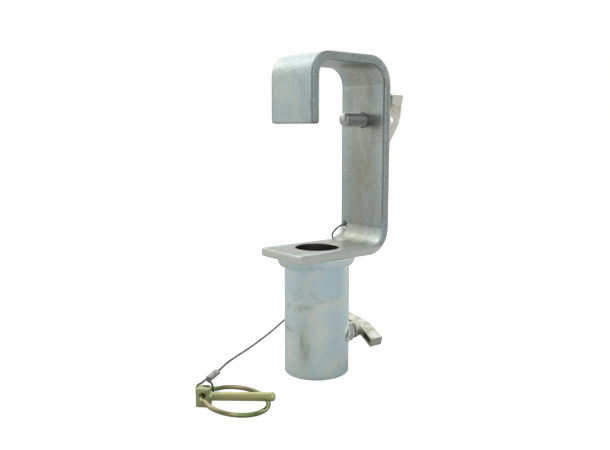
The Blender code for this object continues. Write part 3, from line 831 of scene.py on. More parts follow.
def lay_weld(name, drops, drop_size, voxel, seed, ceiling=None):
    """Drops is a list of (place, reach, fall, length, turn). They melt into one bead."""
    mesh = bpy.data.meshes.new(name)
    mesh.from_pydata([drop[0] for drop in drops], [], [])
    sizes = mesh.attributes.new("drop_size", "FLOAT_VECTOR", "POINT")
    sizes.data.foreach_set("vector", [value for drop in drops for value in drop[1:4]])
    turns = mesh.attributes.new("drop_turn", "FLOAT_VECTOR", "POINT")
    turns.data.foreach_set("vector", [value for drop in drops for value in drop[4]])
    bead = bpy.data.objects.new(name, mesh)
    bpy.context.collection.objects.link(bead)
    set_inputs(bead, weld_drops, drop_size=drop_size, unevenness=0.12, seed=seed, material=weld_zinc)
    melted = bead.modifiers.new("Melted together", "REMESH")
    melted.mode = "VOXEL"
    melted.voxel_size = voxel
    flowed = bead.modifiers.new("Flowed smooth", "SMOOTH")
    flowed.factor = 0.5
    flowed.iterations = 9
    settle(bead, 0)
    if ceiling:
        trimmed = bmesh.new()
        trimmed.from_mesh(bead.data)
        everything = trimmed.verts[:] + trimmed.edges[:] + trimmed.faces[:]
        cut = bmesh.ops.bisect_plane(trimmed, geom=everything, plane_co=(0, 0, ceiling), plane_no=(0, 0, 1),
                                     clear_outer=True)
        rims = [item for item in cut["geom_cut"] if isinstance(item, bmesh.types.BMEdge)]
        bmesh.ops.holes_fill(trimmed, edges=rims)
        trimmed.to_mesh(bead.data)
        trimmed.free()
    bead.data.materials.clear()
    bead.data.materials.append(weld_zinc)
    return bead


foot_bottom = hook_low.z
foot_drops = []
FOOT_WELD_DROPS = 84
for step in range(FOOT_WELD_DROPS):
    angle = math.tau * step / FOOT_WELD_DROPS
    overhang = math.cos(angle) ** 2
    reach = (1.4 + 4.2 * overhang) * MM
    fall = (6.0 + 0.8 * overhang) * MM
    out = tube_radius - 0.6 * MM + 0.15 * reach
    place = (axis_x + out * math.cos(angle), out * math.sin(angle), foot_bottom + 0.2 * MM)
    foot_drops.append((place, reach, 1.5 * MM, fall, (0, 0, angle)))
foot_weld = lay_weld("foot_weld_bead", foot_drops, 1.0, 0.3 * MM, 5, foot_bottom)
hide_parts("socket_weld")
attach(foot_weld, "clamp")

nut_drops = []
NUT_WELD_DROPS = 26
for step in range(NUT_WELD_DROPS):
    angle = math.tau * step / NUT_WELD_DROPS
    rise = math.sin(angle)
    side = math.cos(angle)
    spread = 8.2 * MM
    sideways = spread * side
    back = math.sqrt(tube_radius ** 2 - sideways ** 2) + 0.5 * MM
    place = lock_start + lock_way * back + Vector((-lock_way.y, lock_way.x, 0)) * sideways
    place += Vector((0, 0, spread * rise))
    nut_drops.append((place, 1.5 * MM, 1.7 * MM, 1.7 * MM, (0, 0, 0)))
nut_weld = lay_weld("nut_weld_bead", nut_drops, 1.0, 0.25 * MM, 9)
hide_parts("lock_nut_weld")
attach(nut_weld, "clamp")


# ---------------------------------------------------------------------------------------------
# Lock nut. A plain hexagon nut standing on its end against the tube, plated with the rest.
# ---------------------------------------------------------------------------------------------
nut_zinc = zinc_plate("zinc_on_nut", (0.60, 0.70, 0.71), (0.74, 0.77, 0.71), (0.36, 0.38, 0.30), 0.5,
                      0.7 * MM, 0.22, 0.05, mottle=0.06, seed=4.4)
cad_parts["lock_nut"].data.materials.clear()
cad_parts["lock_nut"].data.materials.append(nut_zinc)


# ---------------------------------------------------------------------------------------------
# Bolts. Rolled steel studs, M10 by 1.5 through the hook's back and M8 by 1.25 into the nut, each
# with a chamfered tip and a plain tail that the wing head is cast round.
# ---------------------------------------------------------------------------------------------
def thread_tree():
    """A rod whose surface follows a screw thread, with a chamfered tip at its low end."""
    tree = bpy.data.node_groups.new("rolled_thread", "GeometryNodeTree")
    tree.interface.new_socket(name="Geometry", in_out="INPUT", socket_type="NodeSocketGeometry")
    for title in ("Radius", "Pitch", "Depth", "Length", "Chamfer", "Tail Radius", "Tail Length"):
        tree.interface.new_socket(name=title, in_out="INPUT", socket_type="NodeSocketFloat")
    tree.interface.new_socket(name="Material", in_out="INPUT", socket_type="NodeSocketMaterial")
    tree.interface.new_socket(name="Geometry", in_out="OUTPUT", socket_type="NodeSocketGeometry")
    nodes = tree.nodes
    links = tree.links
    inputs = nodes.new("NodeGroupInput")
    inputs.label = "What the piece gives"
    outputs = nodes.new("NodeGroupOutput")
    outputs.label = "Finished piece"
    turns = nodes.new("ShaderNodeMath")
    turns.label = "Number of turns"
    turns.operation = "DIVIDE"
    rows = nodes.new("ShaderNodeMath")
    rows.label = "Ten rows to a turn"
    rows.operation = "MULTIPLY"
    rows.inputs[1].default_value = 10
    rod = nodes.new("GeometryNodeMeshCylinder")
    rod.label = "Blank"
    rod.inputs["Vertices"].default_value = 56
    place = nodes.new("GeometryNodeInputPosition")
    place.label = "Place on the blank"
    axes = nodes.new("ShaderNodeSeparateXYZ")
    axes.label = "Across and along"
    bearing = nodes.new("ShaderNodeMath")
    bearing.label = "Angle round the rod"
    bearing.operation = "ARCTAN2"
    part_turn = nodes.new("ShaderNodeMath")
    part_turn.label = "As a part of a turn"
    part_turn.operation = "DIVIDE"
    part_turn.inputs[1].default_value = math.tau
    along = nodes.new("ShaderNodeMath")
    along.label = "Pitches along the rod"
    along.operation = "DIVIDE"
    lead = nodes.new("ShaderNodeMath")
    lead.label = "Right-hand lead"
    lead.operation = "SUBTRACT"
    vee = nodes.new("ShaderNodeMath")
    vee.label = "Up and down one flank"
    vee.operation = "PINGPONG"
    vee.inputs[1].default_value = 0.5
    flank = nodes.new("ShaderNodeMapRange")
    flank.label = "Crest, flank and root"
    flank.interpolation_type = "SMOOTHSTEP"
    flank.inputs["From Min"].default_value = 0.04
    flank.inputs["From Max"].default_value = 0.46
    groove = nodes.new("ShaderNodeMath")
    groove.label = "Groove depth here"
    groove.operation = "MULTIPLY"
    threaded = nodes.new("ShaderNodeMath")
    threaded.label = "Threaded radius"
    threaded.operation = "SUBTRACT"
    half = nodes.new("ShaderNodeMath")
    half.label = "Half the length"
    half.operation = "MULTIPLY"
    half.inputs[1].default_value = 0.5
    from_tip = nodes.new("ShaderNodeMath")
    from_tip.label = "Distance from the tip"
    from_tip.operation = "ADD"
    past_tip = nodes.new("ShaderNodeMath")
    past_tip.label = "No oil on the chamfer"
    past_tip.operation = "GREATER_THAN"
    groove_shade = nodes.new("ShaderNodeMath")
    groove_shade.label = "Painted shade in the groove"
    groove_shade.operation = "MULTIPLY"
    groove_shade_strength = nodes.new("ShaderNodeMath")
    groove_shade_strength.label = "Not quite opaque"
    groove_shade_strength.operation = "MULTIPLY"
    groove_shade_strength.inputs[1].default_value = 0.78
    tip_radius = nodes.new("ShaderNodeMath")
    tip_radius.label = "Radius at the tip"
    tip_radius.operation = "SUBTRACT"
    cone = nodes.new("ShaderNodeMath")
    cone.label = "Chamfer cone"
    cone.operation = "ADD"
    kept = nodes.new("ShaderNodeMath")
    kept.label = "Whichever is smaller"
    kept.operation = "MINIMUM"
    # The groove depth is also stored for the material's painted shade in the thread roots.
    remembered = nodes.new("GeometryNodeStoreNamedAttribute")
    remembered.label = "Depth kept for the oil"
    remembered.data_type = "FLOAT"
    remembered.domain = "POINT"
    remembered.inputs["Name"].default_value = "painted_groove_shade"
    share = nodes.new("ShaderNodeMath")
    share.label = "As a share of the blank"
    share.operation = "DIVIDE"
    moved = nodes.new("ShaderNodeCombineXYZ")
    moved.label = "Point on the thread"
    new_x = nodes.new("ShaderNodeMath")
    new_x.label = "Drawn in across X"
    new_x.operation = "MULTIPLY"
    new_y = nodes.new("ShaderNodeMath")
    new_y.label = "Drawn in across Y"
    new_y.operation = "MULTIPLY"
    shaped = nodes.new("GeometryNodeSetPosition")
    shaped.label = "Roll the thread"
    lifted = nodes.new("GeometryNodeTransform")
    lifted.label = "Tip at the start"
    lift = nodes.new("ShaderNodeCombineXYZ")
    lift.label = "Tip at the origin"
    tail = nodes.new("GeometryNodeMeshCylinder")
    tail.label = "Tail"
    tail.inputs["Vertices"].default_value = 32
    tail_middle = nodes.new("ShaderNodeMath")
    tail_middle.label = "Middle of the tail"
    tail_middle.operation = "MULTIPLY_ADD"
    tail_middle.inputs[1].default_value = 0.5
    tail_place = nodes.new("ShaderNodeCombineXYZ")
    tail_place.label = "Tail past the thread"
    tail_set = nodes.new("GeometryNodeTransform")
    tail_set.label = "Tail in place"
    both = nodes.new("GeometryNodeJoinGeometry")
    both.label = "Thread and tail"
    real = nodes.new("GeometryNodeRealizeInstances")
    real.label = "Real mesh"
    painted = nodes.new("GeometryNodeSetMaterial")
    painted.label = "Stud's plating"
    links.new(inputs.outputs["Length"], turns.inputs[0])
    links.new(inputs.outputs["Pitch"], turns.inputs[1])
    links.new(turns.outputs[0], rows.inputs[0])
    links.new(rows.outputs[0], rod.inputs["Side Segments"])
    links.new(inputs.outputs["Radius"], rod.inputs["Radius"])
    links.new(inputs.outputs["Length"], rod.inputs["Depth"])
    links.new(place.outputs["Position"], axes.inputs["Vector"])
    links.new(axes.outputs["Y"], bearing.inputs[0])
    links.new(axes.outputs["X"], bearing.inputs[1])
    links.new(bearing.outputs[0], part_turn.inputs[0])
    links.new(axes.outputs["Z"], along.inputs[0])
    links.new(inputs.outputs["Pitch"], along.inputs[1])
    links.new(along.outputs[0], lead.inputs[0])
    links.new(part_turn.outputs[0], lead.inputs[1])
    links.new(lead.outputs[0], vee.inputs[0])
    links.new(vee.outputs[0], flank.inputs["Value"])
    links.new(flank.outputs["Result"], groove.inputs[0])
    links.new(inputs.outputs["Depth"], groove.inputs[1])
    links.new(inputs.outputs["Radius"], threaded.inputs[0])
    links.new(groove.outputs[0], threaded.inputs[1])
    links.new(inputs.outputs["Length"], half.inputs[0])
    links.new(axes.outputs["Z"], from_tip.inputs[0])
    links.new(half.outputs[0], from_tip.inputs[1])
    links.new(inputs.outputs["Radius"], tip_radius.inputs[0])
    links.new(inputs.outputs["Chamfer"], tip_radius.inputs[1])
    links.new(tip_radius.outputs[0], cone.inputs[0])
    links.new(from_tip.outputs[0], cone.inputs[1])
    links.new(cone.outputs[0], kept.inputs[0])
    links.new(threaded.outputs[0], kept.inputs[1])
    links.new(kept.outputs[0], share.inputs[0])
    links.new(inputs.outputs["Radius"], share.inputs[1])
    links.new(axes.outputs["X"], new_x.inputs[0])
    links.new(share.outputs[0], new_x.inputs[1])
    links.new(axes.outputs["Y"], new_y.inputs[0])
    links.new(share.outputs[0], new_y.inputs[1])
    links.new(new_x.outputs[0], moved.inputs["X"])
    links.new(new_y.outputs[0], moved.inputs["Y"])
    links.new(axes.outputs["Z"], moved.inputs["Z"])
    links.new(rod.outputs["Mesh"], remembered.inputs["Geometry"])
    links.new(from_tip.outputs[0], past_tip.inputs[0])
    links.new(inputs.outputs["Chamfer"], past_tip.inputs[1])
    links.new(flank.outputs["Result"], groove_shade.inputs[0])
    links.new(past_tip.outputs[0], groove_shade.inputs[1])
    links.new(groove_shade.outputs[0], groove_shade_strength.inputs[0])
    links.new(groove_shade_strength.outputs[0], remembered.inputs["Value"])
    links.new(remembered.outputs["Geometry"], shaped.inputs["Geometry"])
    links.new(moved.outputs["Vector"], shaped.inputs["Position"])
    links.new(half.outputs[0], lift.inputs["Z"])
    links.new(shaped.outputs["Geometry"], lifted.inputs["Geometry"])
    links.new(lift.outputs["Vector"], lifted.inputs["Translation"])
    links.new(inputs.outputs["Tail Radius"], tail.inputs["Radius"])
    links.new(inputs.outputs["Tail Length"], tail.inputs["Depth"])
    links.new(inputs.outputs["Tail Length"], tail_middle.inputs[0])
    links.new(inputs.outputs["Length"], tail_middle.inputs[2])
    links.new(tail_middle.outputs[0], tail_place.inputs["Z"])
    links.new(tail.outputs["Mesh"], tail_set.inputs["Geometry"])
    links.new(tail_place.outputs["Vector"], tail_set.inputs["Translation"])
    links.new(tail_set.outputs["Geometry"], both.inputs["Geometry"])
    links.new(lifted.outputs["Geometry"], both.inputs["Geometry"])
    links.new(both.outputs["Geometry"], real.inputs["Geometry"])
    links.new(real.outputs["Geometry"], painted.inputs["Geometry"])
    links.new(inputs.outputs["Material"], painted.inputs["Material"])
    links.new(painted.outputs["Geometry"], outputs.inputs["Geometry"])
    for column, node in enumerate(nodes):
        node.location = (column % 12 * 190, -(column // 12) * 220)
    return tree


rolled_thread = thread_tree()
# The stud's plating carries painted shade in the thread roots.
stud_zinc = zinc_plate("zinc_on_thread", (0.55, 0.58, 0.58), (0.60, 0.60, 0.55), (0.33, 0.31, 0.24), 0.5,
                       0.5 * MM, 0.26, 0.0, mottle=0.05, shade_grooves=True, seed=5.2)


def threaded_stud(name, radius, pitch, start, way, length, tail_length, node, body):
    """A stud laid from its tip along its axis."""
    mesh = bpy.data.meshes.new(name)
    stud = bpy.data.objects.new(name, mesh)
    bpy.context.collection.objects.link(stud)
    set_inputs(stud, rolled_thread, radius=radius, pitch=pitch, depth=0.6 * pitch, length=length,
               chamfer=0.75 * pitch, tail_radius=2.9 * MM, tail_length=tail_length, material=stud_zinc)
    stud.matrix_world = Matrix.Translation(start) @ way.to_track_quat("Z", "Y").to_matrix().to_4x4()
    settle(stud, 50)
    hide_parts(node)
    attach(stud, body)
    return stud


STUD_TAIL = 9.0 * MM
clamp_length = clamp_high.x - clamp_low.x - STUD_TAIL
threaded_stud("clamp_thread", 4.9 * MM, 1.5 * MM, Vector((clamp_low.x, 0, clamp_height)), Vector((1, 0, 0)),
              clamp_length, STUD_TAIL, "clamp_stud", "clamp_stud")
lock_tip = 5.5 * MM
lock_seat = 31 * MM
threaded_stud("lock_thread", 3.9 * MM, 1.25 * MM, lock_start + lock_way * lock_tip, lock_way,
              lock_seat - lock_tip - 0.3 * MM, STUD_TAIL, "lock_stud", "lock_stud")


# ---------------------------------------------------------------------------------------------
# Wing heads. Malleable iron castings, plated: a round hub with two arms swept back towards the
# thread. Each arm is cast hollow, open on the thread's side, and every edge is left soft.
# ---------------------------------------------------------------------------------------------
WING_LENGTH = 16.4 * MM
WING_SPAN = 20.6 * MM
WING_THICK = 6.4 * MM
WING_WALL = 1.3 * MM
HUB_RADIUS = 6.0 * MM


def prism(name, outline, low, high):
    """A block over closed (x, z) points between two y planes."""
    count = len(outline)
    points = [(x, low, z) for x, z in outline] + [(x, high, z) for x, z in outline]
    faces = [list(range(count)), list(range(count, 2 * count))]
    faces += [[i, (i + 1) % count, count + (i + 1) % count, count + i] for i in range(count)]
    return add_mesh(name, points, faces)


def cast_wing(name):
    """One wing head with its seat at the origin and its thread side towards -X."""
    arms = [(6.7 * MM, 0), (1.6 * MM, WING_SPAN), (3.2 * MM, WING_SPAN + 0.2 * MM), (12.2 * MM, WING_SPAN)]
    arms += [(13.2 * MM, 14 * MM), (WING_LENGTH - 1.6 * MM, 8.2 * MM), (WING_LENGTH - 0.5 * MM, 3.4 * MM)]
    arms += [(WING_LENGTH - 0.2 * MM, 0)]
    arms += [(x, -z) for x, z in arms[::-1][1:-1]]
    wing = prism(name, arms, -WING_THICK / 2, WING_THICK / 2)
    hub = [(0, 0), (0, HUB_RADIUS - 0.5 * MM), (0.5 * MM, HUB_RADIUS), (2.2 * MM, HUB_RADIUS)]
    hub += [(3 * MM, HUB_RADIUS - 0.6 * MM), (5.4 * MM, HUB_RADIUS - 0.8 * MM)]
    hub += [(8 * MM, HUB_RADIUS - 1.7 * MM)]
    hub += [(WING_LENGTH - 2 * MM, HUB_RADIUS - 2.0 * MM), (WING_LENGTH - 0.7 * MM, HUB_RADIUS - 3.0 * MM)]
    hub += [(WING_LENGTH - 0.1 * MM, HUB_RADIUS - 4.4 * MM), (WING_LENGTH - 0.1 * MM, 0)]
    cut_away(wing, [turned(name + "_hub", hub, (1, 0, 0), (0, 0, 0), 64)], "UNION")
    hollows = [turned(name + "_tail", [(-MM, 0), (-MM, 3.2 * MM), (9.6 * MM, 3.2 * MM), (9.6 * MM, 0)],
                      (1, 0, 0), (0, 0, 0), 48)]
    for side in (1, -1):
        near = 7.6 * MM
        far = WING_SPAN - WING_WALL - 0.2 * MM
        hollow = [(-2 * MM, side * near), (12.6 * MM, side * near)]
        hollow += [(10.4 * MM, side * far), (-2 * MM, side * far)]
        inner = WING_THICK / 2 - WING_WALL
        hollows.append(prism(name + f"_hollow{side}", hollow, -inner, inner))
    cut_away(wing, hollows)
    cast = wing.modifiers.new("Cast skin", "REMESH")
    cast.mode = "VOXEL"
    cast.voxel_size = 0.32 * MM
    softened = wing.modifiers.new("Soft edges", "SMOOTH")
    softened.factor = 0.5
    softened.iterations = 5
    settle(wing, 0)
    return wing


def cast_finish(name, pale, straw, shadow, seed):
    """Zinc over a sand casting: pebbled, with patches of silver, straw and a duller dark tint."""
    made = bpy.data.materials.new(name)
    made.use_nodes = True
    nodes = made.node_tree.nodes
    links = made.node_tree.links
    nodes.clear()
    output = nodes.new("ShaderNodeOutputMaterial")
    output.label = "Surface"
    skin = nodes.new("ShaderNodeBsdfPrincipled")
    skin.label = "Plated casting"
    skin.inputs["Metallic"].default_value = 0.8
    links.new(skin.outputs["BSDF"], output.inputs["Surface"])
    where = nodes.new("ShaderNodeTexCoord")
    where.label = "Place on the piece"
    shifted = nodes.new("ShaderNodeMapping")
    shifted.label = "Start the pattern elsewhere on each head"
    shifted.inputs["Location"].default_value = (seed, -seed, seed * 0.5)
    links.new(where.outputs["Object"], shifted.inputs["Vector"])
    tint_frame = nodes.new("NodeFrame")
    tint_frame.label = "Patchy plating"
    patches = nodes.new("ShaderNodeTexNoise")
    patches.label = "Patches"
    patches.inputs["Scale"].default_value = 120
    patches.inputs["Detail"].default_value = 5
    patches.inputs["Distortion"].default_value = 0.8
    tint = nodes.new("ShaderNodeValToRGB")
    tint.label = "Silver, straw, dull"
    tint.color_ramp.elements[0].position = 0.34
    tint.color_ramp.elements[0].color = (*pale, 1)
    tint.color_ramp.elements[1].position = 0.72
    tint.color_ramp.elements[1].color = (*shadow, 1)
    between = tint.color_ramp.elements.new(0.54)
    between.color = (*straw, 1)
    links.new(shifted.outputs["Vector"], patches.inputs["Vector"])
    links.new(patches.outputs["Fac"], tint.inputs["Fac"])
    links.new(tint.outputs["Color"], skin.inputs["Base Color"])
    gloss = nodes.new("ShaderNodeMapRange")
    gloss.label = "Dull patches"
    gloss.inputs["From Min"].default_value = 0.3
    gloss.inputs["From Max"].default_value = 0.7
    gloss.inputs["To Min"].default_value = 0.26
    gloss.inputs["To Max"].default_value = 0.42
    links.new(patches.outputs["Fac"], gloss.inputs["Value"])
    links.new(gloss.outputs["Result"], skin.inputs["Roughness"])
    for node in (patches, tint, gloss):
        node.parent = tint_frame
    relief_frame = nodes.new("NodeFrame")
    relief_frame.label = "Sand-cast skin"
    pebbles = nodes.new("ShaderNodeTexNoise")
    pebbles.label = "Pebbles"
    pebbles.inputs["Scale"].default_value = 900
    pebbles.inputs["Detail"].default_value = 3
    lumps = nodes.new("ShaderNodeTexNoise")
    lumps.label = "Lumps"
    lumps.inputs["Scale"].default_value = 260
    lump_bump = nodes.new("ShaderNodeBump")
    lump_bump.label = "Lumps"
    lump_bump.inputs["Strength"].default_value = 0.5
    lump_bump.inputs["Distance"].default_value = 0.0003
    pebble_bump = nodes.new("ShaderNodeBump")
    pebble_bump.label = "Pebbles"
    pebble_bump.inputs["Strength"].default_value = 0.45
    pebble_bump.inputs["Distance"].default_value = 0.00012
    links.new(shifted.outputs["Vector"], pebbles.inputs["Vector"])
    links.new(shifted.outputs["Vector"], lumps.inputs["Vector"])
    links.new(lumps.outputs["Fac"], lump_bump.inputs["Height"])
    links.new(pebbles.outputs["Fac"], pebble_bump.inputs["Height"])
    links.new(lump_bump.outputs["Normal"], pebble_bump.inputs["Normal"])
    links.new(pebble_bump.outputs["Normal"], skin.inputs["Normal"])
    for node in (pebbles, lumps, lump_bump, pebble_bump):
        node.parent = relief_frame
    for column, node in enumerate([node for node in nodes if node.type != "FRAME"]):
        node.location = (column % 6 * 240 - 1000, 300 - column // 6 * 320)
    return made


CLAMP_TILT = math.radians(22)
LOCK_TILT = math.radians(-76)
clamp_seat = axis_x + 59.3 * MM
# The number after the seed scales each head's tints: 1.45 lifts the clamp wing's as painted light, 0.78
# lowers the lock wing's as painted shade.
wing_places = (
    ("clamp_wing_head", "clamp_wing", 0.2, 1.45,
     Matrix.Translation((clamp_seat, 0, clamp_height)) @ Matrix.Rotation(CLAMP_TILT, 4, "X")),
    ("lock_wing_head", "lock_wing", 1.4, 0.78,
     Matrix.Translation(lock_start + lock_way * lock_seat) @ Matrix.Rotation(LOCK_YAW, 4, "Z")
     @ Matrix.Rotation(LOCK_TILT, 4, "X")),
)
for wing_name, wing_node, wing_seed, wing_painted_light, wing_place in wing_places:
    head = cast_wing(wing_name)
    head.data.materials.clear()
    pale, straw, shadow = [[min(0.97, level * wing_painted_light) for level in tint]
                           for tint in ((0.76, 0.78, 0.74), (0.70, 0.69, 0.57), (0.46, 0.45, 0.34))]
    head.data.materials.append(cast_finish(wing_name + "_skin", pale, straw, shadow, wing_seed))
    head.data.transform(wing_place)
    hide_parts(wing_node)
    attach(head, wing_node)


# ---------------------------------------------------------------------------------------------
# Linch pin. A forged steel pin, yellow passivated: a block head, flat on its outer end and round
# to the shank, drilled across for the ring, and a plain shank with a chamfered tip.
# ---------------------------------------------------------------------------------------------
PIN_YAW = math.radians(-46.5)
SHANK_PITCH = math.radians(2.5)
SHANK_RADIUS = 2.75 * MM
SHANK_REACH = 44.4 * MM
EYE_HEIGHT = 7.2 * MM
HEAD_MIDDLE = 6.05 * MM
HEAD_LONG = 8.8 * MM
HEAD_DEEP = 7.6 * MM
HEAD_TALL = 11.9 * MM
pin_ground = Vector((axis_x - 93.2 * MM, -5.8 * MM, 0))
pin_laid = Matrix.Translation(pin_ground) @ Matrix.Rotation(PIN_YAW, 4, "Z")

plan = []
for corner_x, corner_y, corner_radius in (
    (HEAD_LONG / 2, HEAD_DEEP / 2, 2.6), (-HEAD_LONG / 2, HEAD_DEEP / 2, 0.6),
    (-HEAD_LONG / 2, -HEAD_DEEP / 2, 0.6), (HEAD_LONG / 2, -HEAD_DEEP / 2, 2.2),
):
    rounding = corner_radius * MM
    centre_x = corner_x - math.copysign(rounding, corner_x)
    centre_y = corner_y - math.copysign(rounding, corner_y)
    first = math.atan2(math.copysign(1, corner_y), math.copysign(1, corner_x)) - math.pi / 4
    for step in range(7):
        angle = first + math.pi / 2 * step / 6
        plan.append((centre_x + rounding * math.cos(angle), centre_y + rounding * math.sin(angle)))
head_points = []
for level, draw_in in ((0, 0.5), (0.15, 0.2), (0.5, 0), (-0.7, 0), (-0.25, 0.25), (0, 0.7)):
    height = level * MM if draw_in < 0.6 and level >= 0 else HEAD_TALL + level * MM
    height += HEAD_MIDDLE - HEAD_TALL / 2
    for x, y in plan:
        head_points.append((x * (1 - draw_in * 2 * MM / HEAD_LONG),
                            y * (1 - draw_in * 2 * MM / HEAD_DEEP), height))
ring_count = len(plan)
head_faces = [list(range(ring_count)), list(range(5 * ring_count, 6 * ring_count))]
for row in range(5):
    for step in range(ring_count):
        after = (step + 1) % ring_count
        head_faces.append([row * ring_count + step, row * ring_count + after,
                           (row + 1) * ring_count + after, (row + 1) * ring_count + step])
pin = add_mesh("forged_pin", head_points, head_faces)
shank_way = Vector((math.cos(SHANK_PITCH), 0, math.sin(SHANK_PITCH)))
shank = [(0, 0), (0, 3.0 * MM), (4.6 * MM, 3.0 * MM), (5.4 * MM, SHANK_RADIUS)]
shank += [(SHANK_REACH - 1.3 * MM, SHANK_RADIUS), (SHANK_REACH - 0.5 * MM, SHANK_RADIUS - 0.35 * MM)]
shank += [(SHANK_REACH, SHANK_RADIUS - 0.95 * MM), (SHANK_REACH, 0)]
cut_away(pin, [turned("shank", shank, shank_way, (0, 0, HEAD_MIDDLE), 64)], "UNION")
eye = [(-8 * MM, 0), (-8 * MM, 6 * MM), (-HEAD_DEEP / 2 - 0.05 * MM, 2.3 * MM)]
eye += [(-HEAD_DEEP / 2 + 0.5 * MM, 1.85 * MM), (HEAD_DEEP / 2 - 0.5 * MM, 1.85 * MM)]
eye += [(HEAD_DEEP / 2 + 0.05 * MM, 2.3 * MM), (8 * MM, 6 * MM), (8 * MM, 0)]
cut_away(pin, [turned("eye", eye, (0, 1, 0), (0, 0, EYE_HEIGHT), 48)])
forged = pin.modifiers.new("Forged skin", "REMESH")
forged.mode = "VOXEL"
forged.voxel_size = 0.2 * MM
worn = pin.modifiers.new("Tumbled edges", "SMOOTH")
worn.factor = 0.5
worn.iterations = 14
settle(pin, 0)
pin.data.transform(pin_laid)


def passivate(name, tints, band_scale, roughness, seed):
    """Yellow chromate over zinc: thin film that runs from pink through straw to green."""
    made = bpy.data.materials.new(name)
    made.use_nodes = True
    nodes = made.node_tree.nodes
    links = made.node_tree.links
    nodes.clear()
    output = nodes.new("ShaderNodeOutputMaterial")
    output.label = "Surface"
    film = nodes.new("ShaderNodeBsdfPrincipled")
    film.label = "Chromate film"
    film.inputs["Metallic"].default_value = 0.92
    links.new(film.outputs["BSDF"], output.inputs["Surface"])
    where = nodes.new("ShaderNodeTexCoord")
    where.label = "Place on the piece"
    shifted = nodes.new("ShaderNodeMapping")
    shifted.label = "Start the film elsewhere"
    shifted.inputs["Location"].default_value = (seed, seed * 0.3, 0)
    links.new(where.outputs["Object"], shifted.inputs["Vector"])
    film_frame = nodes.new("NodeFrame")
    film_frame.label = "Film thickness as colour"
    thickness = nodes.new("ShaderNodeTexNoise")
    thickness.label = "Thickness"
    thickness.inputs["Scale"].default_value = band_scale
    thickness.inputs["Detail"].default_value = 2
    thickness.inputs["Distortion"].default_value = 0.4
    colours = nodes.new("ShaderNodeValToRGB")
    colours.label = "Interference colours"
    while len(colours.color_ramp.elements) < len(tints):
        colours.color_ramp.elements.new(0.5)
    for index, tint in enumerate(tints):
        colours.color_ramp.elements[index].position = 0.3 + 0.42 * index / (len(tints) - 1)
        colours.color_ramp.elements[index].color = (*tint, 1)
    links.new(shifted.outputs["Vector"], thickness.inputs["Vector"])
    links.new(thickness.outputs["Fac"], colours.inputs["Fac"])
    for node in (thickness, colours):
        node.parent = film_frame
    speck_frame = nodes.new("NodeFrame")
    speck_frame.label = "Dull specks"
    specks = nodes.new("ShaderNodeTexNoise")
    specks.label = "Specks"
    specks.inputs["Scale"].default_value = 700
    specks.inputs["Detail"].default_value = 4
    speck_share = nodes.new("ShaderNodeMapRange")
    speck_share.label = "Few specks"
    speck_share.inputs["From Min"].default_value = 0.62
    speck_share.inputs["From Max"].default_value = 0.74
    speck_share.inputs["To Max"].default_value = 0.12
    specked = nodes.new("ShaderNodeMix")
    specked.label = "Specks over the film"
    specked.data_type = "RGBA"
    specked.inputs["B"].default_value = (0.22, 0.20, 0.10, 1)
    gloss = nodes.new("ShaderNodeMapRange")
    gloss.label = "Duller where speckled"
    gloss.inputs["From Min"].default_value = 0.3
    gloss.inputs["From Max"].default_value = 0.75
    gloss.inputs["To Min"].default_value = roughness - 0.05
    gloss.inputs["To Max"].default_value = roughness + 0.05
    grain_bump = nodes.new("ShaderNodeBump")
    grain_bump.label = "Fine grain"
    grain_bump.inputs["Strength"].default_value = 0.05
    grain_bump.inputs["Distance"].default_value = 0.00004
    links.new(shifted.outputs["Vector"], specks.inputs["Vector"])
    links.new(specks.outputs["Fac"], speck_share.inputs["Value"])
    links.new(speck_share.outputs["Result"], specked.inputs["Factor"])
    links.new(colours.outputs["Color"], specked.inputs["A"])
    links.new(specked.outputs["Result"], film.inputs["Base Color"])
    links.new(specks.outputs["Fac"], gloss.inputs["Value"])
    links.new(gloss.outputs["Result"], film.inputs["Roughness"])
    links.new(specks.outputs["Fac"], grain_bump.inputs["Height"])
    links.new(grain_bump.outputs["Normal"], film.inputs["Normal"])
    for node in (specks, speck_share, specked, gloss, grain_bump):
        node.parent = speck_frame
    for column, node in enumerate([node for node in nodes if node.type != "FRAME"]):
        node.location = (column % 6 * 240 - 1000, 300 - column // 6 * 320)
    return made


pin.data.materials.clear()
PIN_TINTS = [(0.46, 0.51, 0.37), (0.58, 0.58, 0.27), (0.46, 0.53, 0.29), (0.54, 0.47, 0.33)]
pin.data.materials.append(passivate("chromate_on_pin", PIN_TINTS, 45, 0.22, 0.6))
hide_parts("linch_pin")
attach(pin, "clamp")


# ---------------------------------------------------------------------------------------------
# Ring. Spring wire bent round to an open ring, its two ends turned in to spring into the head's
# cross hole. It swings over the head and lies under the shank's tip.
# ---------------------------------------------------------------------------------------------
RING_WIRE = 1.45 * MM
RING_RADIUS = 19.6 * MM
RING_ADVANCE = 20.6 * MM
RING_PITCH = math.radians(8.1)


def smooth_route(points, spacing):
    """Evenly spaced points on a Catmull-Rom curve through the given ones."""
    knots = [Vector(point) for point in points]
    knots = [2 * knots[0] - knots[1]] + knots + [2 * knots[-1] - knots[-2]]
    fine = []
    for a, b, c, d in zip(knots[:-3], knots[1:-2], knots[2:-1], knots[3:]):
        for step in range(40):
            t = step / 40
            bend = (2 * a - 5 * b + 4 * c - d) * t * t + (3 * b - a - 3 * c + d) * t ** 3
            fine.append(b + ((c - a) * t + bend) / 2)
    fine.append(knots[-2])
    lengths = [0.0]
    for a, b in zip(fine[:-1], fine[1:]):
        lengths.append(lengths[-1] + (b - a).length)
    count = max(2, round(lengths[-1] / spacing))
    even = []
    index = 0
    for step in range(count + 1):
        wanted = lengths[-1] * step / count
        while index < len(fine) - 2 and lengths[index + 1] < wanted:
            index += 1
        span = lengths[index + 1] - lengths[index]
        even.append(fine[index].lerp(fine[index + 1], (wanted - lengths[index]) / span))
    return even


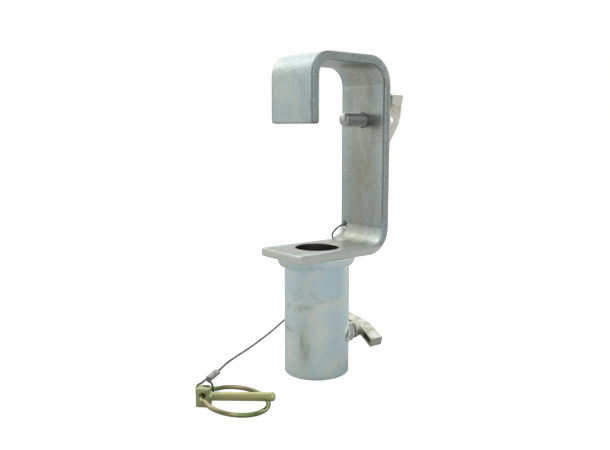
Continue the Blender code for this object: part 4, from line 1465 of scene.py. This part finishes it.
ring_joins = math.radians(146)
ring_start = [(0, 0.6 * MM), (0, 3.4 * MM), (0, 6.6 * MM), (1.5 * MM, 9.6 * MM)]
ring_turn = [ring_joins - 2 * ring_joins * step / 18 for step in range(19)]
ring_plane = ring_start + [(RING_ADVANCE + RING_RADIUS * math.cos(angle), RING_RADIUS * math.sin(angle))
                           for angle in ring_turn] + [(x, -y) for x, y in ring_start[::-1]]
ring_line = smooth_route([(x, y, 0) for x, y in ring_plane], 1.0 * MM)


def wire_tree():
    """Sweeps a round wire, or a bundle of strands laid round a core, along the piece's edges."""
    tree = bpy.data.node_groups.new("laid_wire", "GeometryNodeTree")
    tree.interface.new_socket(name="Geometry", in_out="INPUT", socket_type="NodeSocketGeometry")
    for title in ("Strand Radius", "Strand Offset", "Lay Length", "Core Radius"):
        tree.interface.new_socket(name=title, in_out="INPUT", socket_type="NodeSocketFloat")
    for title in ("Strands", "Sides"):
        tree.interface.new_socket(name=title, in_out="INPUT", socket_type="NodeSocketInt")
    tree.interface.new_socket(name="Material", in_out="INPUT", socket_type="NodeSocketMaterial")
    tree.interface.new_socket(name="Geometry", in_out="OUTPUT", socket_type="NodeSocketGeometry")
    nodes = tree.nodes
    links = tree.links
    inputs = nodes.new("NodeGroupInput")
    inputs.label = "What the piece gives"
    outputs = nodes.new("NodeGroupOutput")
    outputs.label = "Finished piece"
    line = nodes.new("GeometryNodeMeshToCurve")
    line.label = "The wire's line"
    reach = nodes.new("GeometryNodeSplineParameter")
    reach.label = "Distance along it"
    turns = nodes.new("ShaderNodeMath")
    turns.label = "Lays so far"
    turns.operation = "DIVIDE"
    twist = nodes.new("ShaderNodeMath")
    twist.label = "As an angle"
    twist.operation = "MULTIPLY"
    twist.inputs[1].default_value = math.tau
    tilted = nodes.new("GeometryNodeSetCurveTilt")
    tilted.label = "Lay of the strands"
    ring_of = nodes.new("GeometryNodeCurvePrimitiveCircle")
    ring_of.label = "Strands round the core"
    strand = nodes.new("GeometryNodeCurvePrimitiveCircle")
    strand.label = "One strand"
    core = nodes.new("GeometryNodeCurvePrimitiveCircle")
    core.label = "Core"
    laid = nodes.new("GeometryNodeInstanceOnPoints")
    laid.label = "Strands in place"
    bundle = nodes.new("GeometryNodeJoinGeometry")
    bundle.label = "Bundle"
    profile = nodes.new("GeometryNodeRealizeInstances")
    profile.label = "Bundle as one outline"
    swept = nodes.new("GeometryNodeCurveToMesh")
    swept.label = "Drawn along the line"
    swept.inputs["Fill Caps"].default_value = True
    real = nodes.new("GeometryNodeRealizeInstances")
    real.label = "Real mesh"
    painted = nodes.new("GeometryNodeSetMaterial")
    painted.label = "Wire's finish"
    links.new(inputs.outputs["Geometry"], line.inputs["Mesh"])
    links.new(reach.outputs["Length"], turns.inputs[0])
    links.new(inputs.outputs["Lay Length"], turns.inputs[1])
    links.new(turns.outputs[0], twist.inputs[0])
    links.new(line.outputs["Curve"], tilted.inputs["Curve"])
    links.new(twist.outputs[0], tilted.inputs["Tilt"])
    links.new(inputs.outputs["Strands"], ring_of.inputs["Resolution"])
    links.new(inputs.outputs["Strand Offset"], ring_of.inputs["Radius"])
    links.new(inputs.outputs["Sides"], strand.inputs["Resolution"])
    links.new(inputs.outputs["Strand Radius"], strand.inputs["Radius"])
    links.new(inputs.outputs["Sides"], core.inputs["Resolution"])
    links.new(inputs.outputs["Core Radius"], core.inputs["Radius"])
    links.new(ring_of.outputs["Curve"], laid.inputs["Points"])
    links.new(strand.outputs["Curve"], laid.inputs["Instance"])
    links.new(laid.outputs["Instances"], bundle.inputs["Geometry"])
    links.new(core.outputs["Curve"], bundle.inputs["Geometry"])
    links.new(bundle.outputs["Geometry"], profile.inputs["Geometry"])
    links.new(tilted.outputs["Curve"], swept.inputs["Curve"])
    links.new(profile.outputs["Geometry"], swept.inputs["Profile Curve"])
    links.new(swept.outputs["Mesh"], real.inputs["Geometry"])
    links.new(real.outputs["Geometry"], painted.inputs["Geometry"])
    links.new(inputs.outputs["Material"], painted.inputs["Material"])
    links.new(painted.outputs["Geometry"], outputs.inputs["Geometry"])
    for column, node in enumerate(nodes):
        node.location = (column % 8 * 200, -(column // 8) * 220)
    return tree


def edge_line(name, points):
    """A chain of edges for a tree to sweep along."""
    mesh = bpy.data.meshes.new(name)
    mesh.from_pydata([tuple(point) for point in points], [[i, i + 1] for i in range(len(points) - 1)], [])
    made = bpy.data.objects.new(name, mesh)
    bpy.context.collection.objects.link(made)
    return made


RING_TINTS = [(0.46, 0.33, 0.26), (0.40, 0.39, 0.15), (0.20, 0.30, 0.12), (0.38, 0.36, 0.18)]
RING_TINTS += [(0.50, 0.34, 0.29)]
ring_film = passivate("chromate_on_ring", RING_TINTS, 42, 0.17, 2.3)
laid_wire = wire_tree()


def round_wire(name, points, radius, sides, material):
    """A plain round wire with capped ends, in mesh."""
    curve = bpy.data.curves.new(name, "CURVE")
    curve.dimensions = "3D"
    curve.bevel_depth = radius
    curve.bevel_resolution = sides
    curve.use_fill_caps = True
    spline = curve.splines.new("POLY")
    spline.points.add(len(points) - 1)
    for knot, point in zip(spline.points, points):
        knot.co = (*point, 1)
    drawn = bpy.data.objects.new(name + "_line", curve)
    bpy.context.collection.objects.link(drawn)
    bpy.context.view_layer.update()
    mesh = bpy.data.meshes.new_from_object(drawn.evaluated_get(bpy.context.evaluated_depsgraph_get()))
    bpy.data.objects.remove(drawn, do_unlink=True)
    made = bpy.data.objects.new(name, mesh)
    bpy.context.collection.objects.link(made)
    mesh.materials.clear()
    mesh.materials.append(material)
    return made


ring = round_wire("spring_ring", ring_line, RING_WIRE, 10, ring_film)
ring.data.transform(pin_laid @ Matrix.Translation((0, 0, EYE_HEIGHT)) @ Matrix.Rotation(RING_PITCH, 4, "Y"))
ring.data.shade_smooth()
ring.data.set_sharp_from_angle(angle=math.radians(50))
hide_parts("linch_ring")
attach(ring, "linch_ring")


# ---------------------------------------------------------------------------------------------
# Ferrules. Aluminium sleeves pressed flat over the rope where it doubles back to form each eye.
# The press leaves three bands across them.
# ---------------------------------------------------------------------------------------------
FERRULE_LENGTH = 9 * MM


def on_clamp(x, y, z):
    return Vector((axis_x + x * MM, y * MM, z * MM))


def by_pin(x, y, z):
    return pin_laid @ (Vector((x, y, z)) * MM)


def square_to(along, wide):
    return (wide - along * wide.dot(along)).normalized()


def pressed_metal(name):
    """Dull grey aluminium, scratched by the press."""
    made = bpy.data.materials.new(name)
    made.use_nodes = True
    nodes = made.node_tree.nodes
    links = made.node_tree.links
    nodes.clear()
    output = nodes.new("ShaderNodeOutputMaterial")
    output.label = "Surface"
    metal = nodes.new("ShaderNodeBsdfPrincipled")
    metal.label = "Pressed aluminium"
    metal.inputs["Metallic"].default_value = 0.8
    links.new(metal.outputs["BSDF"], output.inputs["Surface"])
    where = nodes.new("ShaderNodeTexCoord")
    where.label = "Place on the piece"
    dirt = nodes.new("ShaderNodeTexNoise")
    dirt.label = "Dirt left by the press"
    dirt.inputs["Scale"].default_value = 420
    dirt.inputs["Detail"].default_value = 5
    tint = nodes.new("ShaderNodeValToRGB")
    tint.label = "Grey to dirty grey"
    tint.color_ramp.elements[0].position = 0.4
    tint.color_ramp.elements[0].color = (0.52, 0.52, 0.49, 1)
    tint.color_ramp.elements[1].position = 0.7
    tint.color_ramp.elements[1].color = (0.28, 0.28, 0.25, 1)
    gloss = nodes.new("ShaderNodeMapRange")
    gloss.label = "Dull"
    gloss.inputs["To Min"].default_value = 0.4
    gloss.inputs["To Max"].default_value = 0.6
    scuffs = nodes.new("ShaderNodeBump")
    scuffs.label = "Scuffs"
    scuffs.inputs["Strength"].default_value = 0.6
    scuffs.inputs["Distance"].default_value = 0.0001
    links.new(where.outputs["Object"], dirt.inputs["Vector"])
    links.new(dirt.outputs["Fac"], tint.inputs["Fac"])
    links.new(tint.outputs["Color"], metal.inputs["Base Color"])
    links.new(dirt.outputs["Fac"], gloss.inputs["Value"])
    links.new(gloss.outputs["Result"], metal.inputs["Roughness"])
    links.new(dirt.outputs["Fac"], scuffs.inputs["Height"])
    links.new(scuffs.outputs["Normal"], metal.inputs["Normal"])
    tint_frame = nodes.new("NodeFrame")
    tint_frame.label = "Dirt in the tint and the gloss"
    for node in (dirt, tint, gloss):
        node.parent = tint_frame
    relief_frame = nodes.new("NodeFrame")
    relief_frame.label = "Scuffed by the press"
    scuffs.parent = relief_frame
    for column, node in enumerate([node for node in nodes if node.type != "FRAME"]):
        node.location = (column * 240 - 800, 100)
    return made


ferrule_metal = pressed_metal("pressed_aluminium")


def pressed_sleeve(name, start, end, wide, node):
    """An oval sleeve with three pressed bands and rolled ends, lipped round the wires."""
    along = (end - start).normalized()
    level = square_to(along, wide)
    rise = along.cross(level)
    length = (end - start).length
    points = []
    rows = 46
    around_steps = 40
    for row in range(rows + 1):
        share = row / rows
        band = 0.5 - 0.5 * math.cos(math.tau * 3 * share)
        past_end = max(0.0, abs(share - 0.5) - 0.45) / 0.05
        rolled_in = min(1.0, math.sqrt(max(0.0, 1 - past_end ** 2)) * 0.22 + 0.78)
        half_wide = (2.2 + 0.1 * band) * MM * rolled_in
        half_high = (1.62 - 0.17 * band) * MM * rolled_in
        for step in range(around_steps):
            angle = math.tau * step / around_steps
            out = level * math.copysign(abs(math.cos(angle)) ** 0.8, math.cos(angle)) * half_wide
            out += rise * math.copysign(abs(math.sin(angle)) ** 0.8, math.sin(angle)) * half_high
            points.append(start + along * length * share + out)
    faces = [list(range(around_steps)), list(range(rows * around_steps, (rows + 1) * around_steps))]
    for row in range(rows):
        for step in range(around_steps):
            after = (step + 1) % around_steps
            faces.append([row * around_steps + step, row * around_steps + after,
                          (row + 1) * around_steps + after, (row + 1) * around_steps + step])
    sleeve = add_mesh(name, points, faces)
    sleeve.data.set_sharp_from_angle(angle=math.radians(50))
    sleeve.data.materials.append(ferrule_metal)
    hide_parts(node)
    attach(sleeve, "clamp")
    return sleeve


hook_sleeve_top = on_clamp(38.2, 27.9, 84.6)
hook_sleeve_way = Vector((-0.16, 0.09, -0.98)).normalized()
hook_sleeve_end = hook_sleeve_top + hook_sleeve_way * FERRULE_LENGTH
hook_sleeve_side = square_to(hook_sleeve_way, Vector((1, 0, 0)))
hook_sleeve = pressed_sleeve("hook_end_sleeve", hook_sleeve_top, hook_sleeve_end, hook_sleeve_side,
                             "ferrule_hook")
pin_sleeve_far = by_pin(0.9, 6.6, 14.5)
pin_sleeve_way = (on_clamp(-68.8, 3.5, 20) - pin_sleeve_far).normalized()
pin_sleeve_near = pin_sleeve_far + pin_sleeve_way * FERRULE_LENGTH
pin_sleeve_side = square_to(pin_sleeve_way, pin_laid.to_3x3() @ Vector((1, 0, 0)))
pin_sleeve = pressed_sleeve("pin_end_sleeve", pin_sleeve_far, pin_sleeve_near, pin_sleeve_side, "ferrule_pin")


# ---------------------------------------------------------------------------------------------
# Lanyard. Thin galvanised wire rope, six strands round a core, from an eye through the hook's
# back to an eye round the ring. It is stiff enough to keep a slight bow of its own.
# ---------------------------------------------------------------------------------------------
SLEEVE_GAP = 0.3 * MM


def rope_metal(name):
    """Greyed galvanised wire, patchy with oil and dust."""
    made = bpy.data.materials.new(name)
    made.use_nodes = True
    nodes = made.node_tree.nodes
    links = made.node_tree.links
    nodes.clear()
    output = nodes.new("ShaderNodeOutputMaterial")
    output.label = "Surface"
    wire = nodes.new("ShaderNodeBsdfPrincipled")
    wire.label = "Galvanised wire"
    wire.inputs["Metallic"].default_value = 0.85
    links.new(wire.outputs["BSDF"], output.inputs["Surface"])
    where = nodes.new("ShaderNodeTexCoord")
    where.label = "Place on the piece"
    dirt = nodes.new("ShaderNodeTexNoise")
    dirt.label = "Oil and dust"
    dirt.inputs["Scale"].default_value = 500
    dirt.inputs["Detail"].default_value = 4
    tint = nodes.new("ShaderNodeValToRGB")
    tint.label = "Bright to oily"
    tint.color_ramp.elements[0].position = 0.35
    tint.color_ramp.elements[0].color = (0.42, 0.42, 0.42, 1)
    tint.color_ramp.elements[1].position = 0.65
    tint.color_ramp.elements[1].color = (0.17, 0.16, 0.16, 1)
    gloss = nodes.new("ShaderNodeMapRange")
    gloss.label = "Gloss"
    gloss.inputs["To Min"].default_value = 0.32
    gloss.inputs["To Max"].default_value = 0.55
    fine = nodes.new("ShaderNodeBump")
    fine.label = "Fine wires"
    fine.inputs["Strength"].default_value = 0.5
    fine.inputs["Distance"].default_value = 0.00006
    links.new(where.outputs["Object"], dirt.inputs["Vector"])
    links.new(dirt.outputs["Fac"], tint.inputs["Fac"])
    links.new(tint.outputs["Color"], wire.inputs["Base Color"])
    links.new(dirt.outputs["Fac"], gloss.inputs["Value"])
    links.new(gloss.outputs["Result"], wire.inputs["Roughness"])
    links.new(dirt.outputs["Fac"], fine.inputs["Height"])
    links.new(fine.outputs["Normal"], wire.inputs["Normal"])
    tint_frame = nodes.new("NodeFrame")
    tint_frame.label = "Dirt in the tint and the gloss"
    for node in (dirt, tint, gloss):
        node.parent = tint_frame
    relief_frame = nodes.new("NodeFrame")
    relief_frame.label = "Relief of the fine wires"
    fine.parent = relief_frame
    for column, node in enumerate([node for node in nodes if node.type != "FRAME"]):
        node.location = (column * 240 - 800, 100)
    return made


oily_wire = rope_metal("galvanised_wire")


def laid_rope(name, points, node):
    """Six strands laid right-handed round a core along the points."""
    rope = edge_line(name, points)
    set_inputs(rope, laid_wire, strand_radius=0.255 * MM, strand_offset=0.49 * MM, core_radius=0.27 * MM,
               lay_length=8.5 * MM, strands=6, sides=8, material=oily_wire)
    settle(rope, 60)
    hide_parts(node)
    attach(rope, "clamp")
    return rope


leave = hook_sleeve_way * SLEEVE_GAP
arrive = pin_sleeve_way * SLEEVE_GAP
run_route = [hook_sleeve_end + leave, on_clamp(35.6, 29.3, 69), on_clamp(30.5, 30, 59)]
run_route += [on_clamp(21, 29.2, 48.5)]
run_route += [on_clamp(6, 26.2, 39.6), on_clamp(-14, 20.8, 33.0), on_clamp(-29.3, 15.9, 28.4)]
run_route += [on_clamp(-49.8, 9.5, 23.7), on_clamp(-68.8, 4.0, 20.2), pin_sleeve_near + arrive]
run_line = smooth_route(run_route, 0.5 * MM)
rope_run = laid_rope("rope_between_eyes", run_line, "lanyard_rope")

side = hook_sleeve_side * 0.95 * MM
hook_eye_route = [hook_sleeve_top - leave + side, hook_sleeve_top - 6 * leave + side]
hook_eye_route += [on_clamp(42.5, 27.7, 89)]
hook_eye_route += [on_clamp(48.2, 26.3, 93.5), on_clamp(50.8, 22.6, 97.2), on_clamp(48.9, 18.9, 99.2)]
hook_eye_route += [on_clamp(44.1, 18.0, 99.2), on_clamp(39.6, 18.9, 98.2), on_clamp(36.4, 21.9, 95.2)]
hook_eye_route += [on_clamp(35.4, 25.4, 90.8), hook_sleeve_top - 6 * leave - side]
hook_eye_route += [hook_sleeve_top - leave - side]
hook_eye = laid_rope("rope_eye_at_hook", smooth_route(hook_eye_route, 0.5 * MM), "lanyard_eye_hook")

side = pin_sleeve_side * 0.95 * MM
pin_eye_route = [pin_sleeve_far - arrive - side, pin_sleeve_far - 6 * arrive - side, by_pin(-2.6, 5.4, 12.6)]
pin_eye_route += [by_pin(-5.6, 5.2, 10.6), by_pin(-6.4, 5.2, 7.4), by_pin(-4.8, 5.2, 4.4)]
pin_eye_route += [by_pin(-1.6, 5.2, 3.1)]
pin_eye_route += [by_pin(1.6, 5.2, 3.6), by_pin(3.8, 5.2, 6.2), by_pin(4.0, 5.3, 9.6), by_pin(3.0, 5.7, 12.4)]
pin_eye_route += [pin_sleeve_far - 6 * arrive + side, pin_sleeve_far - arrive + side]
pin_eye = laid_rope("rope_eye_at_pin", smooth_route(pin_eye_route, 0.5 * MM), "lanyard_eye_pin")


# ---------------------------------------------------------------------------------------------
# Floor and studio light. A white floor, a white sky that is greyer low down with dark flags
# round it, and two soft panels, one over the lip and one beside the socket.
# ---------------------------------------------------------------------------------------------
floor_mesh = bpy.data.meshes.new("floor")
FLOOR_REACH = 4
FLOOR_LEVEL = -0.0002           # just under the socket, so that the two faces don't coincide
floor_corners = [(side * FLOOR_REACH, front * FLOOR_REACH, FLOOR_LEVEL)
                 for side, front in ((-1, -1), (1, -1), (1, 1), (-1, 1))]
floor_mesh.from_pydata(floor_corners, [], [[0, 1, 2, 3]])
floor = bpy.data.objects.new("floor", floor_mesh)
bpy.context.collection.objects.link(floor)
paper = bpy.data.materials.new("white_paper")
paper.use_nodes = True
paper_nodes = paper.node_tree.nodes
paper_surface = paper_nodes["Principled BSDF"]
paper_surface.label = "Matt paper"
paper_surface.inputs["Base Color"].default_value = (0.5, 0.5, 0.5, 1)
paper_surface.inputs["Roughness"].default_value = 0.9
paper_surface.inputs["Specular IOR Level"].default_value = 0.1
paper_surface.inputs["Emission Color"].default_value = (1, 1, 1, 1)
paper_nodes["Material Output"].label = "Surface"
paper_seen = paper_nodes.new("ShaderNodeLightPath")
paper_seen.label = "Seen by the eye, not by metal"
paper_lift = paper_nodes.new("ShaderNodeMath")
paper_lift.label = "Lift to white"
paper_lift.operation = "MULTIPLY"
paper_lift.inputs[1].default_value = 0.8
paper.node_tree.links.new(paper_seen.outputs["Is Camera Ray"], paper_lift.inputs[0])
paper.node_tree.links.new(paper_lift.outputs["Value"], paper_surface.inputs["Emission Strength"])
floor_mesh.materials.append(paper)

sky = bpy.data.worlds.new("studio")
bpy.context.scene.world = sky
sky.use_nodes = True
sky_nodes = sky.node_tree.nodes
sky_links = sky.node_tree.links
sky_nodes.clear()
sky_output = sky_nodes.new("ShaderNodeOutputWorld")
sky_output.label = "Surroundings"
sky_light = sky_nodes.new("ShaderNodeBackground")
sky_light.label = "Light of the studio"
sky_way = sky_nodes.new("ShaderNodeTexCoord")
sky_way.label = "Direction in the studio"
sky_axes = sky_nodes.new("ShaderNodeSeparateXYZ")
sky_axes.label = "Height and bearing"
sky_height = sky_nodes.new("ShaderNodeValToRGB")
sky_height.label = "Dim at eye level, bright overhead"
sky_height.color_ramp.elements[0].position = 0.0
sky_height.color_ramp.elements[0].color = (0.74, 0.75, 0.745, 1)
sky_height.color_ramp.elements[1].position = 0.85
sky_height.color_ramp.elements[1].color = (1.0, 1.0, 1.0, 1)
sky_turn = sky_nodes.new("ShaderNodeMath")
sky_turn.label = "Bearing round the studio"
sky_turn.operation = "ARCTAN2"
sky_flags = sky_nodes.new("ShaderNodeMath")
sky_flags.label = "Black flags between white panels"
sky_flags.operation = "SINE"
sky_times = sky_nodes.new("ShaderNodeMath")
sky_times.label = "Three flags round the studio"
sky_times.operation = "MULTIPLY_ADD"
sky_times.inputs[1].default_value = 3.0
sky_times.inputs[2].default_value = 0.9
sky_share = sky_nodes.new("ShaderNodeMapRange")
sky_share.label = "How dark the flags are"
sky_share.inputs["From Min"].default_value = -1.0
sky_share.inputs["From Max"].default_value = 1.0
sky_share.inputs["To Min"].default_value = 0.42
sky_share.inputs["To Max"].default_value = 1.25
sky_both = sky_nodes.new("ShaderNodeMix")
sky_both.label = "Height and flags together"
sky_both.data_type = "RGBA"
sky_both.blend_type = "MULTIPLY"
sky_both.inputs["Factor"].default_value = 1.0
sky_seen = sky_nodes.new("ShaderNodeLightPath")
sky_seen.label = "Seen by the eye, not by metal"
sky_plain = sky_nodes.new("ShaderNodeMix")
sky_plain.label = "Plain white backdrop"
sky_plain.data_type = "RGBA"
sky_plain.inputs["B"].default_value = (1.0, 1.0, 1.0, 1)
sky_links.new(sky_way.outputs["Generated"], sky_axes.inputs["Vector"])
sky_links.new(sky_axes.outputs["Z"], sky_height.inputs["Fac"])
sky_links.new(sky_axes.outputs["Y"], sky_turn.inputs[0])
sky_links.new(sky_axes.outputs["X"], sky_turn.inputs[1])
sky_links.new(sky_turn.outputs["Value"], sky_times.inputs[0])
sky_links.new(sky_times.outputs["Value"], sky_flags.inputs[0])
sky_links.new(sky_flags.outputs["Value"], sky_share.inputs["Value"])
sky_links.new(sky_height.outputs["Color"], sky_both.inputs["A"])
sky_links.new(sky_share.outputs["Result"], sky_both.inputs["B"])
sky_links.new(sky_both.outputs["Result"], sky_plain.inputs["A"])
sky_links.new(sky_seen.outputs["Is Camera Ray"], sky_plain.inputs["Factor"])
sky_links.new(sky_plain.outputs["Result"], sky_light.inputs["Color"])
sky_links.new(sky_light.outputs["Background"], sky_output.inputs["Surface"])
for column, node in enumerate(sky_nodes):
    node.location = (column * 220 - 1400, 0)
bpy.context.scene.view_settings.view_transform = "Standard"


def soft_panel(name, place, aim, wide, tall, power):
    """A soft box that faces a point."""
    lamp = bpy.data.lights.new(name, "AREA")
    lamp.shape = "RECTANGLE"
    lamp.size = wide
    lamp.size_y = tall
    lamp.energy = power
    panel = bpy.data.objects.new(name, lamp)
    bpy.context.collection.objects.link(panel)
    panel.location = place
    panel.rotation_euler = (Vector(aim) - Vector(place)).to_track_quat("-Z", "Y").to_euler()


middle_of_clamp = (axis_x, 0, 0.11)
soft_panel("over_the_lip", (0.2, 0.85, 0.85), middle_of_clamp, 1.5, 0.9, 4.2)
soft_panel("beside_the_socket", (0.95, -0.12, 0.35), middle_of_clamp, 0.35, 0.8, 1.0)
